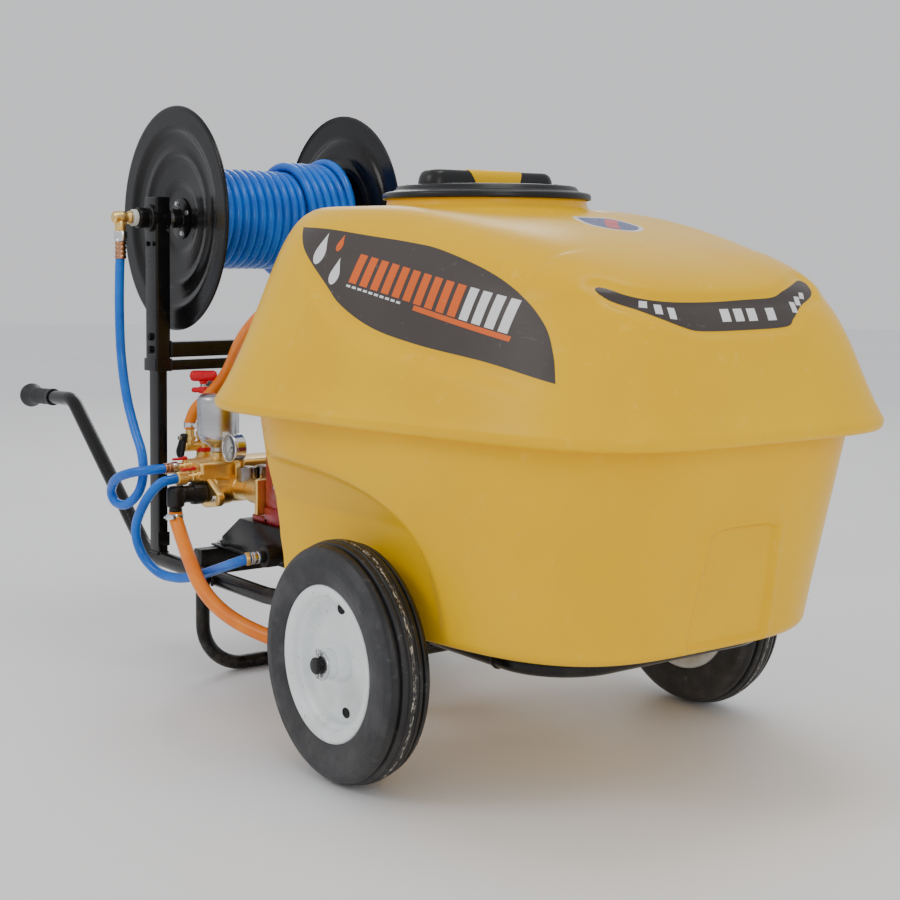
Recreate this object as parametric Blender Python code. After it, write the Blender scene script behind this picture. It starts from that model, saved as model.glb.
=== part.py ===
"""Wheeled orchard sprayer cart: a 200 litre tank on a two-wheel tube chassis with a rear stand,
a belt-driven three-plunger pump behind the tank, and a hose reel on posts above the handles.

Metres, +Z up, +X towards the nose, +Y to the cart's left. The places below are measured from the
wheel axle's middle at ground level; the empty "cart" moves them so that the box is centred on x = 0.
"""

import math

import bmesh
import bpy
from mathutils import Matrix, Vector

# Driving dimensions
AXLE_X = 0.5077  # how far the axle lies ahead of the middle of the whole cart
FIT = 0.0003  # gap between pieces that touch
RUN = 0.0001  # radial clearance of a running fit

WHEEL_RADIUS = 0.180
WHEEL_Y = 0.362  # middle plane of each wheel
AXLE_RADIUS = 0.0125
AXLE_END_Y = 0.416
TUBE_RADIUS = 0.015
TUBE_WALL = 0.002
RAIL_Y = 0.229
RAIL_TOP_Z = 0.2078  # rail centre where it carries the tank
RAIL_LOW_Z = 0.178  # rail centre at the rear
STAND_X = -0.645
STAND_RADIUS = 0.013
POST_X = -0.881
SLEEVE = (0.050, 0.030)  # reel stand tube, along x and y
POST = (0.040, 0.020)  # chassis post that slides up inside it
SLEEVE_FOOT_Z = 0.548
SLEEVE_TOP_Z = 0.886
REEL_Z = 0.846
REEL_RADIUS = 0.220
DISC_Y = 0.198
DRUM_RADIUS = 0.045
SHAFT_RADIUS = 0.0125
HOSE_RADIUS = 0.009
SUCTION_RADIUS = 0.013
RETURN_RADIUS = 0.011
BEAM_X = (-0.730, -0.700)
BEAM_Z = (0.1715, 0.2215)
DECK_Z = BEAM_Z[1] + FIT
DECK_THICK = 0.004
TANK_FLOOR_Z = 0.2233
LEDGE_Z = 0.529
LIP_Z = 0.545
NECK_X = -0.131
NECK_RADIUS = 0.1655
LID_RADIUS = 0.166
NECK_TOP_Z = 0.872
PUMP_Y = -0.112  # middle of the three plungers
CYLINDER_PITCH = 0.036
CRANK_AXIS = (-0.4805, 0.372)  # x and z
MOTOR_AXIS = (-0.655, 0.3065)
PUMP_PULLEY_RADIUS = 0.070
MOTOR_PULLEY_RADIUS = 0.035
BELT_Y = -0.016
GAUGE = (-0.672, -0.178, 0.414)
REGULATOR = (-0.824, -0.160)
CHAMBER = (-0.735, -0.176)
OUTLET = (-0.170, -0.100)
RETURN_INLET = (-0.4075, -0.190, 0.690)
AGITATOR = (-0.445, -0.190, 0.251)
CRANK_LENGTH = 0.135
WINDING_RADIUS = 0.099
WINDING_END = 0.172
NEEDLE_START = 225
KNOB_TURN = 37
LEVER_Z = 0.420
VALVE_X = -0.652
PLUNGER_Y = -0.124  # middle of the three cylinders
BRACKET_TOP_Z = 0.288
COCK_Y = -0.247
OUTLETS = ((-0.735, 0.376), (-0.701, 0.3605))

FEED_ROUTE = [
    (-0.735, -0.2625, 0.376),
    (-0.735, -0.285, 0.376),
    (-0.748, -0.316, 0.374),
    (-0.782, -0.338, 0.366),
    (-0.826, -0.345, 0.350),
    (-0.862, -0.338, 0.322),
    (-0.857, -0.331, 0.301),
    (-0.822, -0.325, 0.301),
    (-0.792, -0.315, 0.326),
    (-0.786, -0.308, 0.360),
    (-0.802, -0.303, 0.400),
    (-0.838, -0.301, 0.444),
    (-0.873, -0.300, 0.502),
    (-0.896, -0.300, 0.580),
    (-0.899, -0.302, 0.670),
    (-0.888, -0.306, 0.745),
    (POST_X, -0.307, 0.784),
    (POST_X, -0.307, REEL_Z - 0.0445),
]
AGITATOR_ROUTE = [
    (-0.701, -0.2625, 0.3605),
    (-0.701, -0.285, 0.3605),
    (-0.706, -0.313, 0.353),
    (-0.732, -0.330, 0.318),
    (-0.766, -0.333, 0.264),
    (-0.762, -0.323, 0.216),
    (-0.723, -0.309, 0.186),
    (-0.672, -0.297, 0.182),
    (-0.620, -0.288, 0.192),
    (-0.560, -0.286, 0.211),
    (-0.500, -0.286, 0.231),
    (-0.455, -0.281, 0.247),
    (-0.445, -0.267, 0.251),
    (-0.445, -0.2525, 0.251),
]
SUCTION_ROUTE = [
    (-0.702, -0.283, 0.2995),
    (-0.702, -0.283, 0.287),
    (-0.665, -0.289, 0.256),
    (-0.610, -0.302, 0.226),
    (-0.545, -0.314, 0.192),
    (-0.485, -0.311, 0.163),
    (-0.420, -0.298, 0.143),
    (-0.345, -0.268, 0.127),
    (-0.270, -0.205, 0.114),
    (-0.205, -0.138, 0.110),
    (-0.170, -0.100, 0.138),
    (-0.170, -0.100, 0.1597),
]
RETURN_ROUTE = [
    (-0.824, -0.190, 0.4365),
    (-0.824, -0.190, 0.450),
    (-0.812, -0.184, 0.476),
    (-0.788, -0.167, 0.505),
    (-0.765, -0.152, 0.535),
    (-0.725, -0.155, 0.567),
    (-0.670, -0.172, 0.600),
    (-0.610, -0.187, 0.633),
    (-0.545, -0.192, 0.668),
    (-0.490, -0.190, 0.690),
    (-0.4598, -0.190, 0.690),
]

YELLOW = (0.93, 0.66, 0.01)
BLACK = (0.012, 0.012, 0.013)
BRASS = (0.80, 0.50, 0.13)
BLUE = (0.01, 0.13, 0.55)
ORANGE = (0.95, 0.33, 0.04)
RED = (0.70, 0.015, 0.02)

cart = None


# ---------------------------------------------------------------- scene and materials


def clear_scene():
    for obj in list(bpy.data.objects):
        bpy.data.objects.remove(obj, do_unlink=True)


def material(name, colour, roughness, metallic=0.0):
    made = bpy.data.materials.get(name)
    if made:
        return made
    made = bpy.data.materials.new(name)
    made.use_nodes = True
    shader = made.node_tree.nodes["Principled BSDF"]
    shader.inputs["Base Color"].default_value = (*colour, 1)
    shader.inputs["Roughness"].default_value = roughness
    shader.inputs["Metallic"].default_value = metallic
    made.diffuse_color = (*colour, 1)
    return made


def paint():
    return material("black_paint", BLACK, 0.3)


def black_plastic():
    return material("black_plastic", (0.02, 0.02, 0.021), 0.45)


def brass():
    return material("brass", BRASS, 0.3, 1.0)


def chrome():
    return material("chrome", (0.75, 0.75, 0.76), 0.12, 1.0)


def steel():
    return material("steel", (0.55, 0.55, 0.56), 0.35, 1.0)


def yellow_plastic():
    return material("yellow_plastic", YELLOW, 0.4)


def red_plastic():
    return material("red_plastic", RED, 0.4)


# ---------------------------------------------------------------- building blocks


def place(name, bm, mat, at=(0, 0, 0)):
    """Turns a bmesh, whose points are around its own origin, into a named part at a place."""
    bmesh.ops.recalc_face_normals(bm, faces=bm.faces)
    if bm.calc_volume(signed=True) < 0:
        bmesh.ops.reverse_faces(bm, faces=bm.faces)
    mesh = bpy.data.meshes.new(name)
    bm.to_mesh(mesh)
    bm.free()
    obj = bpy.data.objects.new(name, mesh)
    bpy.context.scene.collection.objects.link(obj)
    mesh.materials.append(mat)
    mesh.shade_smooth()
    mesh.set_sharp_from_angle(angle=math.radians(35))
    obj.location = at
    obj.parent = cart
    return obj


def change(target, operation, tool):
    """Joins a tool object to the target, or cuts it out of it."""
    modifier = target.modifiers.new(tool.name, "BOOLEAN")
    modifier.operation = operation
    modifier.object = tool
    tool.hide_render = True
    tool.display_type = "WIRE"


def add(target, *tools):
    for tool in tools:
        change(target, "UNION", tool)
    return target


def cut(target, *tools):
    for tool in tools:
        change(target, "DIFFERENCE", tool)
    return target


def along(bm, axis):
    """Turns a shape built around Z so that it lies around another axis."""
    if axis == "Y":
        bm.transform(Matrix.Rotation(-math.pi / 2, 4, "X"))
    if axis == "X":
        bm.transform(Matrix.Rotation(math.pi / 2, 4, "Y"))
    return bm


def block(low, high, bevel=0.0, segments=1):
    bm = bmesh.new()
    bmesh.ops.create_cube(bm, size=1)
    size = [b - a for a, b in zip(low, high)]
    middle = [(a + b) / 2 for a, b in zip(low, high)]
    bm.transform(Matrix.Translation(middle) @ Matrix.Diagonal((*size, 1)))
    if bevel:
        bmesh.ops.bevel(bm, geom=bm.edges, offset=bevel, segments=segments, affect="EDGES", profile=0.5)
    return bm


def rod(radius, low, high, axis="Z", sides=24, chamfer=0.0):
    """A round bar from low to high along an axis through the origin."""
    c = chamfer
    profile = [(0, low), (radius - c, low)] + ([(radius, low + c), (radius, high - c)] if c else [])
    profile += [(radius - c, high), (0, high)]
    return turned(profile, sides, axis)


def turned(profile, sides, axis="Z"):
    """A solid of revolution. The profile is a closed loop, or starts and ends on the axis."""
    bm = bmesh.new()
    points = [bm.verts.new((radius, 0, height)) for radius, height in profile]
    pairs = list(zip(points, points[1:]))
    if profile[0][0] > 0:
        pairs.append((points[-1], points[0]))
    edges = [bm.edges.new(pair) for pair in pairs]
    turn = {"cent": (0, 0, 0), "axis": (0, 0, 1), "angle": math.tau, "steps": sides}
    bmesh.ops.spin(bm, geom=points + edges, use_merge=True, **turn)
    bmesh.ops.remove_doubles(bm, verts=bm.verts, dist=1e-6)
    return along(bm, axis)


def prism(outline, low, high, plane="XY"):
    """A flat outline drawn in a plane and stretched from low to high across it."""
    order = {"XY": (0, 1, 2), "XZ": (0, 2, 1), "YZ": (1, 2, 0)}[plane]
    bm = bmesh.new()
    corners = []
    for a, b in outline:
        point = [0, 0, 0]
        point[order[0]], point[order[1]], point[order[2]] = a, b, low
        corners.append(bm.verts.new(point))
    face = bm.faces.new(corners)
    made = bmesh.ops.extrude_face_region(bm, geom=[face])["geom"]
    step = Vector((0, 0, 0))
    step[order[2]] = high - low
    bmesh.ops.translate(bm, vec=step, verts=[v for v in made if isinstance(v, bmesh.types.BMVert)])
    return bm


def arc(centre, radius, start, end, steps):
    """Points of an arc in degrees, both ends included."""
    angles = [math.radians(start + (end - start) * i / steps) for i in range(steps + 1)]
    return [(centre[0] + radius * math.cos(a), centre[1] + radius * math.sin(a)) for a in angles]


def bore(radius, sides, gap=RUN):
    """Corner radius of a many-sided hole whose flats clear a round shaft by the gap."""
    return (radius + gap) / math.cos(math.pi / sides)


def polygon(count, radius, turn=0.0):
    return arc((0, 0), radius, turn, turn + 360 * (count - 1) / count, count - 1)


def oval(middle, end, reach, steps):
    """Outline of a two-bolt flange: a round middle that narrows to a lug on each side."""
    lean = math.degrees(math.acos((middle - end) / reach))
    outline = arc((reach, 0), end, -lean, lean, steps) + arc((0, 0), middle, lean, 180 - lean, steps)
    outline += arc((-reach, 0), end, 180 - lean, 180 + lean, steps)
    return outline + arc((0, 0), middle, 180 + lean, 360 - lean, steps)


def rounded(corners, radii, steps=6):
    """A path through corners with each inner corner replaced by an arc."""
    path = [Vector(corners[0])]
    for before, corner, after, radius in zip(corners, corners[1:], corners[2:], radii):
        corner = Vector(corner)
        back = (Vector(before) - corner).normalized()
        ahead = (Vector(after) - corner).normalized()
        half = back.angle(ahead) / 2
        centre = corner + (back + ahead).normalized() * radius / math.sin(half)
        first = corner + back * radius / math.tan(half) - centre
        last = corner + ahead * radius / math.tan(half) - centre
        for i in range(steps + 1):
            path.append(centre + first.slerp(last, i / steps).normalized() * radius)
    path.append(Vector(corners[-1]))
    return path


def pipe(path, radius, wall, sides=8, across=(0, 1, 0)):
    """A hollow round tube with open ends along a path that stays in the plane across a direction."""
    bm = bmesh.new()
    across = Vector(across)
    rings = []
    for i, point in enumerate(path):
        ahead = (path[min(i + 1, len(path) - 1)] - point).normalized()
        behind = (point - path[max(i - 1, 0)]).normalized()
        along_path = (ahead + behind).normalized()
        stretch = 1 / max(along_path.dot(ahead if ahead.length else behind), 0.5)
        up = across.cross(along_path).normalized() * stretch
        for r in (radius, radius - wall):
            turn = [math.tau * k / sides for k in range(sides)]
            spots = [point + r * (across * math.cos(a) + up * math.sin(a)) for a in turn]
            rings.append([bm.verts.new(spot) for spot in spots])
    outer, inner = rings[0::2], rings[1::2]
    pairs = list(zip(outer, outer[1:])) + list(zip(inner, inner[1:]))
    pairs += [(outer[0], inner[0]), (outer[-1], inner[-1])]
    for a, b in pairs:
        for k in range(sides):
            m = (k + 1) % sides
            bm.faces.new((a[k], a[m], b[m], b[k]))
    return bm


def box_tube(low, high, wall, axis):
    """A rectangular tube along one axis, open at both ends."""
    k = "XYZ".index(axis)
    bm = bmesh.new()
    a, b = [i for i in range(3) if i != k]
    rings = []
    for inset in (0, wall):
        for end in (low[k], high[k]):
            ring = []
            for s, t in ((0, 0), (1, 0), (1, 1), (0, 1)):
                point = [0, 0, 0]
                point[k] = end
                point[a] = (high[a] - inset) if s else (low[a] + inset)
                point[b] = (high[b] - inset) if t else (low[b] + inset)
                ring.append(bm.verts.new(point))
            rings.append(ring)
    for p, q in ((0, 1), (2, 3), (0, 2), (1, 3)):
        for i in range(4):
            j = (i + 1) % 4
            bm.faces.new((rings[p][i], rings[p][j], rings[q][j], rings[q][i]))
    return bm


def smooth_route(points, spacing):
    """Evenly spaced points read from a Catmull-Rom curve through hand-chosen places."""
    points = [Vector(p) for p in points]
    points = [2 * points[0] - points[1]] + points + [2 * points[-1] - points[-2]]
    fine = []
    for a, b, c, d in zip(points, points[1:], points[2:], points[3:]):
        for i in range(40):
            t = i / 40
            bend = 2 * a - 5 * b + 4 * c - d + t * (3 * b - a - 3 * c + d)
            fine.append(0.5 * (2 * b + t * (c - a + t * bend)))
    fine.append(points[-2])
    lengths = [0.0]
    for a, b in zip(fine, fine[1:]):
        lengths.append(lengths[-1] + (b - a).length)
    count = max(2, round(lengths[-1] / spacing))
    route, k = [], 0
    for i in range(count + 1):
        want = lengths[-1] * i / count
        while k < len(fine) - 2 and lengths[k + 1] < want:
            k += 1
        share = (want - lengths[k]) / (lengths[k + 1] - lengths[k])
        route.append(fine[k].lerp(fine[k + 1], share))
    return route


def hose(name, points, radius, mat):
    """A solid hose with straight ends and a smooth route between, as a curve with filled caps."""
    route = [Vector(points[0])] + smooth_route(points[1:-1], radius * 5) + [Vector(points[-1])]
    curve = bpy.data.curves.new(name, "CURVE")
    curve.dimensions = "3D"
    curve.bevel_depth = radius
    curve.bevel_resolution = 2
    curve.use_fill_caps = True
    spline = curve.splines.new("POLY")
    spline.points.add(len(route) - 1)
    for point, place_ in zip(spline.points, route):
        point.co = (*place_, 1)
    curve.materials.append(mat)
    obj = bpy.data.objects.new(name, curve)
    bpy.context.scene.collection.objects.link(obj)
    obj.parent = cart
    return obj


# ---------------------------------------------------------------- chassis


def side_name(side):
    return "right" if side < 0 else "left"


def chassis_rails():
    """Each rail is one tube: handle, bend down to the rear posts, and on under the tank."""
    for side in (-1, 1):
        y = side * RAIL_Y
        corners = [
            (-1.512, y, 0.4515),
            (-1.296, y, 0.460),
            (-0.929, y, RAIL_LOW_Z),
            (-0.460, y, RAIL_LOW_Z),
            (-0.120, y, RAIL_TOP_Z),
            (0.1997, y, RAIL_TOP_Z),
        ]
        path = rounded(corners, [0.07, 0.13, 0.3, 0.3], 4)
        place(side_name(side) + "_side_tube", pipe(path, TUBE_RADIUS, TUBE_WALL), paint())
    z = RAIL_TOP_Z
    corners = [(0.2, -RAIL_Y, z), (0.316, -RAIL_Y, z), (0.316, RAIL_Y, z), (0.2, RAIL_Y, z)]
    hoop = pipe(rounded(corners, [0.1, 0.1], 5), TUBE_RADIUS, TUBE_WALL, across=(0, 0, 1))
    place("front_hoop", hoop, paint())


def rear_cross_beam():
    """A rectangular tube whose ends are coped over the round rails."""
    low = (BEAM_X[0], -0.231, BEAM_Z[0])
    high = (BEAM_X[1], 0.231, BEAM_Z[1])
    beam = place("rear_cross_beam", box_tube(low, high, 0.0025, "Y"), paint())
    for side in (-1, 1):
        at = (0, side * RAIL_Y, RAIL_LOW_Z)
        saddle = rod(TUBE_RADIUS + 3 * FIT, -0.8, -0.6, "X", 20)
        cut(beam, place("beam_cope_" + side_name(side), saddle, paint(), at))
        low = (-0.8, side * RAIL_Y - 0.016, 0.15)
        high = (-0.6, side * RAIL_Y + 0.016, RAIL_LOW_Z)
        cut(beam, place("beam_trim_" + side_name(side), block(low, high), paint()))


def axle_bar():
    """A solid bar under the rails, drilled at each end for the pin that keeps the wheel on."""
    bar = rod(AXLE_RADIUS, -AXLE_END_Y, AXLE_END_Y, "Y", 24, 0.0015)
    axle = place("axle_bar", bar, steel(), (0, 0, WHEEL_RADIUS))
    for side in (-1, 1):
        pin = rod(0.0025, -0.018, 0.018, "Z", 8)
        at = (0, side * 0.4095, WHEEL_RADIUS)
        add(axle, place("wheel_pin_" + side_name(side), pin, steel(), at))


def rear_stand():
    """A tube loop outside the rails that the cart rests on when it is parked."""
    y, foot = RAIL_Y + TUBE_RADIUS + STAND_RADIUS + FIT, STAND_RADIUS + 0.0001
    corners = [(STAND_X, -y, 0.196), (STAND_X, -y, foot), (STAND_X, y, foot), (STAND_X, y, 0.196)]
    path = rounded(corners, [0.085, 0.085], 5)
    place("rear_stand", pipe(path, STAND_RADIUS, TUBE_WALL, across=(1, 0, 0)), paint())


def posts_and_reel_stand():
    """Chassis posts stand on the rails; the reel stand's wider tubes slide over them."""
    foot = RAIL_LOW_Z + TUBE_RADIUS + 0.0017
    for side in (-1, 1):
        name = side_name(side)
        y = side * RAIL_Y
        low = (POST_X - POST[0] / 2, y - POST[1] / 2, foot)
        high = (POST_X + POST[0] / 2, y + POST[1] / 2, 0.75)
        place(name + "_post", box_tube(low, high, 0.002, "Z"), paint())
        low = (POST_X - SLEEVE[0] / 2, y - SLEEVE[1] / 2, SLEEVE_FOOT_Z)
        high = (POST_X + SLEEVE[0] / 2, y + SLEEVE[1] / 2, SLEEVE_TOP_Z)
        upright = place(name + "_upright", box_tube(low, high, 0.004, "Z"), paint())
        collar_low = (low[0] - 0.003, low[1] - 0.003, SLEEVE_FOOT_Z + 0.0002)
        collar_high = (high[0] + 0.003, high[1] + 0.003, SLEEVE_FOOT_Z + 0.024)
        collar = place(name + "_collar", box_tube(collar_low, collar_high, 0.0035, "Z"), paint())
        add(upright, collar)
        hole = rod(bore(0.0182, 20, FIT), -0.03, 0.03, "Y", 20)
        cut(upright, place(name + "_bearing_hole", hole, paint(), (POST_X, y, REEL_Z)))
    inside = RAIL_Y - SLEEVE[1] / 2 - FIT
    low, high = (POST_X - 0.005, -inside, 0.5745), (POST_X + 0.025, inside, 0.6045)
    place("upper_crossbar", box_tube(low, high, 0.002, "Y"), paint())
    inside -= 0.0033
    low, high = (POST_X - 0.0, -inside, 0.5485), (POST_X + 0.020, inside, 0.5685)
    place("lower_crossbar", box_tube(low, high, 0.002, "Y"), paint())


def deck_and_bracket():
    """The deck carries the motor and the folded bracket that lifts the pump."""
    top = DECK_Z + DECK_THICK
    deck = place("deck_plate", block((-0.7355, -0.192, DECK_Z), (-0.388, 0.2135, top)), paint())
    flange = block((-0.3925, -0.2135, 0.168), (-0.3885, 0.2135, top - 0.0005))
    add(deck, place("deck_flange", flange, paint()))
    rear, front, base, high = -0.696, -0.470, top + FIT, BRACKET_TOP_Z
    cheek = [(rear, base), (rear, 0.244), (-0.628, high), (front, high), (front, base)]
    shelf = block((-0.628, PUMP_Y - 0.076, high - 0.004), (front, PUMP_Y + 0.076, high), 0.0)
    bracket = place("pump_bracket", shelf, paint())
    for k, y in enumerate((PUMP_Y - 0.078, PUMP_Y + 0.074)):
        add(bracket, place(f"bracket_cheek_{k}", prism(cheek, y, y + 0.004, "XZ"), paint()))


def grips():
    """Moulded grips pushed over the handle ends, with a flared stop at the far end."""
    fit = bore(TUBE_RADIUS, 14, FIT)
    profile = [(fit, 0.0), (0.0186, 0.0), (0.0186, 0.012), (0.0178, 0.016), (0.0176, 0.105)]
    profile += [(0.0215, 0.116), (0.0270, 0.126), (0.0262, 0.133), (0.0150, 0.137), (0.0001, 0.1375)]
    profile += [(0.0001, 0.118), (fit, 0.118)]
    for side in (-1, 1):
        tilt = math.atan2(0.460 - 0.4515, 1.512 - 1.296)
        bm = turned(profile, 14, "X")
        bm.transform(Matrix.Rotation(math.pi - tilt, 4, "Y"))
        start = (-1.399, side * RAIL_Y, 0.460 - 0.103 * math.tan(tilt))
        place(side_name(side) + "_grip", bm, material("grip_rubber", (0.02, 0.02, 0.02), 0.6), start)


# ---------------------------------------------------------------- tank


def superellipse(turn, centre, half_length, half_width, taper, squareness):
    """One point of a tank outline: a rounded rectangle that is narrower towards the nose."""
    c, s = math.cos(turn), math.sin(turn)
    x = math.copysign(abs(c) ** (2 / squareness), c)
    y = math.copysign(abs(s) ** (2 / squareness), s)
    return centre + half_length * x, half_width * (1 - taper * x) * y


def blend(front, side, rear, turn):
    """A value that goes from the nose over the side to the rear of the tank."""
    ahead = max(math.cos(turn), 0)
    behind = max(-math.cos(turn), 0) ** 0.6
    beside = max(1 - ahead - behind, 0)
    return (front * ahead + side * beside + rear * behind) / (ahead + beside + behind)


def bezier(values, t):
    n = len(values) - 1
    return sum(math.comb(n, i) * (1 - t) ** (n - i) * t**i * v for i, v in enumerate(values))


def hood_point(turn, t, inset):
    """The tank's upper shell: from the lip, t = 0, over the shoulder to the neck, t = 1."""
    lip = superellipse(turn, 0.050, 0.471 - inset, 0.386 - inset, 0.1716, 4.75)
    neck = (NECK_X + (0.176 - inset) * math.cos(turn), (0.176 - inset) * math.sin(turn))
    inwards = [0, blend(0.15, 0.20, 0.25, turn), blend(0.03, 0.40, 0.48, turn)]
    inwards += [blend(0.59, 0.51, 0.40, turn), 1]
    heights = [LIP_Z, blend(0.692, 0.60, 0.644, turn), blend(0.782, 0.813, 0.898, turn)]
    heights += [blend(0.80, 0.875, 0.864, turn), 0.852]
    s = bezier(inwards, t)
    x, y = (a + (b - a) * s for a, b in zip(lip, neck))
    return x, y, bezier(heights, t) - inset


def wheel_recess(x, y, z, inset):
    """Presses the lower sides in beside the wheels, under an arch that falls towards the front."""
    reach = (max(x + 0.42, 0) / 0.59) ** 4 + (max(z - 0.10, 0) / 0.355) ** 4
    share = min(max((1.12 - reach) / 0.24, 0), 1)
    share = share * share * (3 - 2 * share)
    limit = 0.300 + 0.4 * max(z - 0.38, 0) - inset
    if abs(y) <= limit:
        return y
    return math.copysign(abs(y) + (limit - abs(y)) * share, y)


def body_point(turn, t, inset, lift=0.0, tuck=0.0):
    """The tank's lower shell: from the ledge, t = 0, down to the floor's edge, t = 1."""
    shrink = inset + tuck
    half_length, half_width = 0.429 - 0.053 * t - shrink, 0.353 - 0.031 * t - shrink
    x, y = superellipse(turn, 0.045 - 0.01 * t, half_length, half_width, 0.114, 3.9)
    z = LEDGE_Z + (0.245 - LEDGE_Z) * t + lift
    return x, wheel_recess(x, y, z, inset), z


def tank_rings(inset, turns):
    """Rings of the tank's skin from the floor up to the neck; inset gives the inner skin."""
    rings = []
    drop = 0.245 - TANK_FLOOR_Z
    for angle in (90, 40):
        turn = math.radians(angle)
        lift, tuck = -drop * math.sin(turn) + inset * (angle > 40), drop * (1 - math.cos(turn))
        rings.append([body_point(a, 1, inset, lift, tuck) for a in turns])
    for step in range(7):
        rings.append([body_point(a, 1 - step / 6, inset) for a in turns])
    if not inset:
        for grow, z in ((-0.012, LEDGE_Z + 0.001), (-0.003, LEDGE_Z + 0.004), (0, LEDGE_Z + 0.009)):
            lip = [superellipse(a, 0.050, 0.471 + grow, 0.386 + grow, 0.1716, 4.75) for a in turns]
            rings.append([(x, y, z) for x, y in lip])
    steps = 6 if inset else 8
    for step in range(steps + 1):
        rings.append([hood_point(a, step / steps, inset) for a in turns])
    radius = NECK_RADIUS - inset
    for z in (0.8555, NECK_TOP_Z):
        rings.append([(NECK_X + radius * math.cos(a), radius * math.sin(a), z) for a in turns])
    return rings


def tank():
    """A hollow moulded tank: outer skin, inner skin, and the open neck that joins them."""
    bm = bmesh.new()
    count = 40
    turns = [math.tau * i / count for i in range(count)]
    outer = [[bm.verts.new(p) for p in ring] for ring in tank_rings(0, turns)]
    inner = [[bm.verts.new(p) for p in ring] for ring in tank_rings(0.006, turns)]
    skin = outer + inner[::-1]
    for a, b in zip(skin, skin[1:]):
        for i in range(count):
            j = (i + 1) % count
            bm.faces.new((a[i], a[j], b[j], b[i]))
    bm.faces.new(outer[0])
    bm.faces.new(inner[0])
    place("tank", bm, yellow_plastic())


def lid_and_strainer():
    at = (NECK_X, 0, 0)
    neck = NECK_RADIUS - 0.0078
    top = NECK_TOP_Z + FIT
    basket = [(0, 0.742), (neck - 0.0175, 0.742), (neck, top), (neck + 0.0075, top)]
    basket += [(neck + 0.0075, top + 0.002), (neck - 0.0025, top + 0.002), (neck - 0.020, 0.745), (0, 0.745)]
    mesh = material("strainer", (0.05, 0.05, 0.05), 0.5)
    place("strainer_basket", turned(basket, 32), mesh, at)
    seal = [(0.1505, 0.8748), (0.1655, 0.8748), (0.1655, 0.8778), (0.1505, 0.8778)]
    place("lid_seal", turned(seal, 32), material("seal_rubber", (0.03, 0.03, 0.03), 0.7), at)
    rim = LID_RADIUS + 0.0035
    cap = [(0, 0.8782), (0.1685, 0.8782), (0.1685, 0.869), (rim + 0.003, 0.869), (rim + 0.003, 0.8755)]
    cap += [(rim, 0.880), (0.150, 0.884), (0.146, 0.892), (0, 0.892)]
    lid = place("lid", turned(cap, 32), black_plastic(), at)
    grip = block((-0.030, -0.131, 0.888), (0.030, 0.131, 0.917), 0.010, 1)
    add(lid, place("lid_grip", grip, black_plastic(), at))


def tank_fittings():
    """The sump outlet under the tank, the return inlet high at the rear, and the agitator elbow."""
    x, y = OUTLET
    boss = [(0, 0.160), (0.0115, 0.160), (0.0115, 0.186), (0.021, 0.186), (0.021, 0.205)]
    boss += [(0.030, 0.205), (0.030, TANK_FLOOR_Z - FIT), (0, TANK_FLOOR_Z - FIT)]
    place("tank_outlet", turned(boss, 16), black_plastic(), (x, y, 0))
    spout = [(0, -0.052), (0.009, -0.052), (0.009, -0.024), (0.017, -0.024), (0.017, -0.008)]
    spout += [(0.026, -0.008), (0.026, 0.0), (0, 0.0)]
    place("return_fitting", turned(spout, 16, "X"), black_plastic(), RETURN_INLET)
    elbow = [(0, -0.062), (0.0125, -0.062), (0.0125, -0.058), (0.0195, -0.056), (0.0195, -0.028)]
    elbow += [(0.0145, -0.026), (0.0145, 0.010), (0, 0.010)]
    nut = place("agitator_elbow", turned(elbow, 12, "Y"), black_plastic(), AGITATOR)
    neck = [(0, -0.002), (0.0135, -0.002), (0.0135, 0.032), (0.024, 0.032), (0.024, 0.042), (0, 0.042)]
    add(nut, place("agitator_neck", turned(neck, 12, "X"), black_plastic(), AGITATOR))


# ---------------------------------------------------------------- wheels


def wheels():
    seat = 0.1010
    half = [(seat, 0.0190), (seat, 0.0286), (0.1160, 0.0292), (0.1168, 0.0345)]
    half += [(0.145, 0.0415), (0.169, 0.0360), (WHEEL_RADIUS, 0.017)]
    hollow = [(0.172, 0.014), (0.161, 0.0300), (0.125, 0.0290)]
    tyre = half + [(r, -h) for r, h in reversed(half)] + [(r, -h) for r, h in hollow[::-1]]
    tyre += hollow
    hub = 0.0166
    rim = [(hub, 0.040), (0.0215, 0.040), (0.0215, 0.0125), (0.070, 0.0105), (0.088, 0.016)]
    rim += [(0.096, 0.029), (0.112, 0.034), (0.115, 0.030), (0.100, 0.029), (0.100, -0.029)]
    rim += [(0.115, -0.030), (0.112, -0.034), (0.097, -0.031), (0.097, 0.010), (0.070, 0.007)]
    rim += [(0.0215, 0.007), (0.0215, -0.040), (hub, -0.040)]
    inner, outer = bore(AXLE_RADIUS, 20), 0.0162
    bush = [(inner, -0.0405), (outer, -0.0405), (outer, 0.0405), (inner, 0.0405)]
    rubber = material("tyre_rubber", (0.03, 0.032, 0.035), 0.75)
    white = material("rim_paint", (0.78, 0.82, 0.80), 0.4)
    for side in (-1, 1):
        at = (0, side * WHEEL_Y, WHEEL_RADIUS)
        name = side_name(side)
        place(name + "_tyre", turned([(r, side * h) for r, h in tyre], 32, "Y"), rubber, at)
        place(name + "_rim", turned([(r, side * h) for r, h in rim], 24, "Y"), white, at)
        place(name + "_bush", turned(bush, 20, "Y"), material("nylon", (0.7, 0.7, 0.66), 0.5), at)


# ---------------------------------------------------------------- hose reel


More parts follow.
